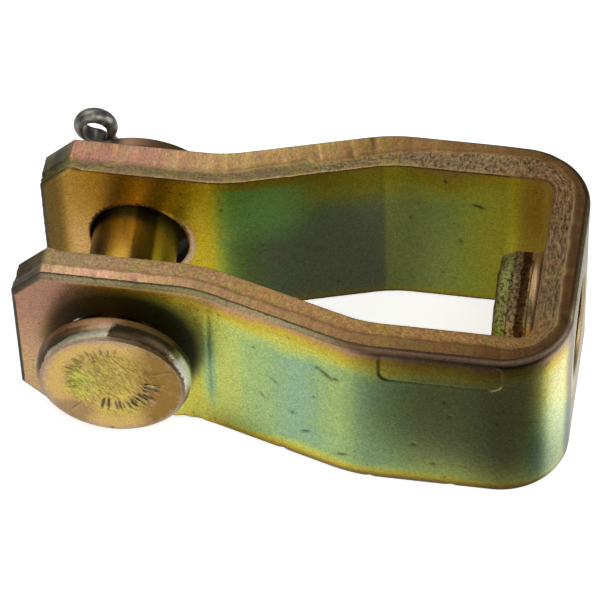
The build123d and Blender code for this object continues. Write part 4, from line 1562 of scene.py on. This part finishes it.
class ROD_END_OT_split_pin(bpy.types.Operator):
    """Builds the split pin: half-round wire folded round its eye, its legs spread past the clevis pin"""

    bl_idname = "rod_end.split_pin"
    bl_label = "Split pin"

    def execute(self, context):
        s = in_mm(context.scene.rod_end_split_pin)
        pin = in_mm(context.scene.rod_end_pin)
        line = poly_curve("wire_line", [(x, y, 0) for x, y in wire_line(s, pin["radius"])])
        material = split_pin_material()
        sizes = {"Radius": s["wire_diameter"] / 2 * MM, "Material": material}
        mesh = through_nodes(wire_tree(), line, sizes)
        upright = leaning(s["lean"])
        axes = Matrix((upright.cross(-PIN_AXIS), upright, -PIN_AXIS)).transposed().to_4x4()
        mesh.transform(Matrix.Translation((PIN_MIDDLE + PIN_AXIS * pin["cross_hole_at"]) * MM) @ axes)
        new_piece("split_pin_wire", mesh, material, "pin", "split_pin")
        return {"FINISHED"}


# ---------------------------------------------------------------- the washer


def washer_tree():
    """Geometry Nodes: turns a flat ring with rounded edges round Z, standing on Z 0."""
    tree, w, given, gives = new_group("Stamped washer", "GeometryNodeTree", {
        "Geometry": "Geometry", "Outer Radius": 14 * MM, "Bore Radius": 7.5 * MM, "Thickness": 2.5 * MM,
        "Edge Radius": 0.3 * MM, "Dents": 0.04 * MM, "Seed": 5.0, "Material": "Material",
    }, {"Washer": "Geometry"})
    outer, bore = given["Outer Radius"], given["Bore Radius"]
    wide, thick = outer - bore, given["Thickness"]
    section = w.node("GeometryNodeCurvePrimitiveQuadrilateral", Width=wide, Height=thick)
    profile = round_corners(w, section, given["Edge Radius"], 4)
    profile = w.node("GeometryNodeResampleCurve", Curve=profile, Length=0.22 * MM, mode="LENGTH")
    settings = {"Resolution": 220, "Radius": (outer + bore) * 0.5}
    path = w.node("GeometryNodeCurvePrimitiveCircle", mode="RADIUS", result="Curve", **settings)
    ring = w.node("GeometryNodeCurveToMesh", Curve=path, Profile_Curve=profile)
    w.put(gives["Washer"], dented(w, ring, given, 0.35, 3.0))
    return tree


def washer_material():
    """Brownish chromate over a stamped washer, with painted shade near its bore and on its face against the
    ear.
    """
    material, w, shader = new_material("Washer plating")
    here = w.places(WASHER_SEAT, PIN_TURN)
    beside, along, above = w.parts(here)
    clouds = w.noise(here, 0.2, 3.0, 0.55)
    film = film_colour(w, w.span(clouds, 0.3, 0.7, 0.04, 0.24), 0.42)
    # painted shade near the bore and on the face against the ear
    near_bore = w.span(w.away(beside, above), 8.8, 8.0) * w.span(along, 2.3, 2.0)
    shaded = w.math("MAXIMUM", near_bore, w.span(along, 0.9, 0.4))
    base = w.mix(shaded * 0.95, film, (0.02, 0.015, 0.01))
    value, height_grain = grain(w, here, 4.0, 0.45)
    normal = w.bump(height_grain, 0.35, 0.06)
    rough = 0.22 + 0.25 * clouds
    join(w, shader, Base_Color=w.scaled(base, value), Metallic=0.92, Roughness=rough, Normal=normal)
    return material


class ROD_END_OT_washer(bpy.types.Operator):
    """Builds the washer between the rear ear and the split pin"""

    bl_idname = "rod_end.washer"
    bl_label = "Washer"

    def execute(self, context):
        s = in_mm(context.scene.rod_end_washer)
        material = washer_material()
        mesh = through_nodes(washer_tree(), bpy.data.meshes.new("seed"), {
            "Outer Radius": s["outer_radius"] * MM, "Bore Radius": s["bore_radius"] * MM,
            "Thickness": s["thickness"] * MM, "Edge Radius": s["edge_radius"] * MM, "Material": material,
        })
        place = Matrix.Translation(WASHER_SEAT * MM) @ PIN_AXIS.to_track_quat("Z", "Y").to_matrix().to_4x4()
        mesh.transform(place @ Matrix.Translation((0, 0, s["thickness"] / 2 * MM)))
        new_piece("washer_ring", mesh, material, "washer", "washer")
        return {"FINISHED"}


# ---------------------------------------------------------------- the stage


def sky_world(settings):
    """A world that is lighter behind the object than towards the camera."""
    world = bpy.data.worlds.new("Studio")
    world.use_nodes = True
    w = Wiring(world.node_tree)
    direction = w.node("ShaderNodeTexCoord", result="Generated")
    facing = w.vector("DOT_PRODUCT", direction, (-0.38, 0.62, 0.68), result="Value")
    strength = w.span(facing, 0.75, 1.0, settings.dim_sky, settings.bright_sky)
    join(w, world.node_tree.nodes["Background"], Color=(1, 0.985, 0.96, 1), Strength=strength)
    return world


def floor_material(settings):
    """A pale matt floor that glows for the camera, except under the jaw. In the metal's reflections it shows a
    painted reflection instead: dark, with a glow that is bright in front and on the right, dim before the wall
    and the base's bend, and between the straps."""
    material, w, shader = new_material("Floor")
    here = w.places()
    x, y, _ = w.parts(here)
    middle = abs(y)
    paper = w.mix(w.noise(here, 0.01), settings.floor_colour, [c * 0.98 for c in settings.floor_colour])
    dim_front = w.span(x, 26, 48) * w.span(y - 0.35 * x, -38, -52) * w.span(x, 110, 96)
    dim_inside = w.span(x, 8, 20) * w.span(middle, 22, 16) * w.span(x, 68, 62) * w.span(x, 40, 50, 0.75, 0.5)
    bright_right = w.span(x, 74, 84) * w.span(y, -32, -18) * w.span(y, 20, 2)
    mirrored = (1.0 - 0.94 * dim_front) * (1.0 - dim_inside) * w.span(x, 76, 84, 1.0, 0.35)
    mirrored = bright_right + 0.75 * mirrored
    mirrored = mirrored * w.span(w.vector("LENGTH", here, result="Value"), 120, 300, 1.0, 0.1)
    # painted shade: the floor's glow for the camera is left out under the jaw, so the gap between the ears
    # looks dark
    jaw = w.span(x, 16, 6) * w.span(x, -17.5, -15.5) * w.span(middle, 12, 8)
    in_mirror, for_camera = w.node("ShaderNodeLightPath", result=("Is Glossy Ray", "Is Camera Ray"))
    glow = in_mirror * mirrored + for_camera * (settings.floor_glow * (1.0 - jaw))
    # the floor is dark in reflections, where only its painted glow shows
    base = w.mix(in_mirror, paper, (0.08, 0.08, 0.08))
    join(w, shader, Base_Color=base, Roughness=0.9, Emission_Color=(1, 1, 1, 1), Emission_Strength=glow)
    join(w, shader, Specular_IOR_Level=0)
    return material


SOFTBOXES = (                               # place and aim in metres, size, power
    ("softbox_back", (-0.22, 0.19, 0.19), (-0.22, 0.19, 0), 0.38, 0.45),
    ("softbox_over", (0.15, -0.45, 0.65), (0.03, 0, 0), 0.45, 1.8),
    ("softbox_right", (0.45, -0.02, 0.18), (0.03, 0, 0), 0.30, 1.2),
    ("softbox_front", (-0.17, -0.33, 0.15), (0, 0, 0.01), 0.32, 0.26),
)
FLOOR_HALF = 2.0                            # metres from the floor's middle to its sides
CAMERA_AIM = (27.56, -0.68, 0)              # the point that the camera looks at


class ROD_END_OT_stage(bpy.types.Operator):
    """Builds the pale floor, the soft lights and the camera"""

    bl_idname = "rod_end.stage"
    bl_label = "Stage"

    def execute(self, context):
        s, scene = context.scene.rod_end_stage, context.scene
        scene.world = sky_world(s)
        scene.view_settings.view_transform = "Standard"

        mesh = bpy.data.meshes.new("floor")
        corners = [(-FLOOR_HALF, -FLOOR_HALF), (FLOOR_HALF, -FLOOR_HALF), (FLOOR_HALF, FLOOR_HALF),
                   (-FLOOR_HALF, FLOOR_HALF)]
        corners = [(x, y, YOKE_LOW.z) for x, y in corners]
        mesh.from_pydata(corners, [], [(0, 1, 2, 3)])
        mesh.materials.append(floor_material(s))
        floor = in_scene("floor", mesh)

        for name, place, aim, size, power in SOFTBOXES:
            lamp = bpy.data.lights.new(name, "AREA")
            lamp.size, lamp.energy = size, power
            light = in_scene(name, lamp)
            light.location = place
            light.rotation_euler = (Vector(aim) - Vector(place)).to_track_quat("-Z", "Y").to_euler()

        flat = cos(s.elevation)
        back = Vector((sin(s.azimuth) * flat, -cos(s.azimuth) * flat, sin(s.elevation)))
        level = Vector((cos(s.azimuth), sin(s.azimuth), 0))
        right = level * cos(s.roll) + back.cross(level) * sin(s.roll)
        camera = in_scene("camera", bpy.data.cameras.new("camera"))
        camera.data.lens = s.lens
        camera.data.clip_end = 10
        axes = Matrix((right, back.cross(right), back)).transposed().to_4x4()
        camera.matrix_world = Matrix.Translation(Vector(CAMERA_AIM) * MM + back * s.distance) @ axes
        scene.camera = camera
        return {"FINISHED"}


class ROD_END_PT_panel(bpy.types.Panel):
    """Lists the pieces of the rod end"""

    bl_label = "Rod end"
    bl_idname = "ROD_END_PT_panel"
    bl_space_type = "VIEW_3D"
    bl_region_type = "UI"
    bl_category = "Rod end"

    def draw(self, context):
        for operator in OPERATORS:
            self.layout.operator(operator.bl_idname)


OPERATORS = (
    ROD_END_OT_yoke, ROD_END_OT_clevis_pin, ROD_END_OT_split_pin, ROD_END_OT_washer, ROD_END_OT_stage,
)


def register():
    for made in (*GROUPS.values(), *OPERATORS, ROD_END_PT_panel):
        bpy.utils.register_class(made)
    for name, group in GROUPS.items():
        setattr(bpy.types.Scene, name, PointerProperty(type=group))


def unregister():
    for name in GROUPS:
        delattr(bpy.types.Scene, name)
    for made in (ROD_END_PT_panel, *reversed(OPERATORS), *reversed(GROUPS.values())):
        bpy.utils.unregister_class(made)


def main():
    """Builds everything in order."""
    register()
    for operator in OPERATORS:
        group, name = operator.bl_idname.split(".")
        getattr(getattr(bpy.ops, group), name)()


if __name__ == "__main__":
    main()
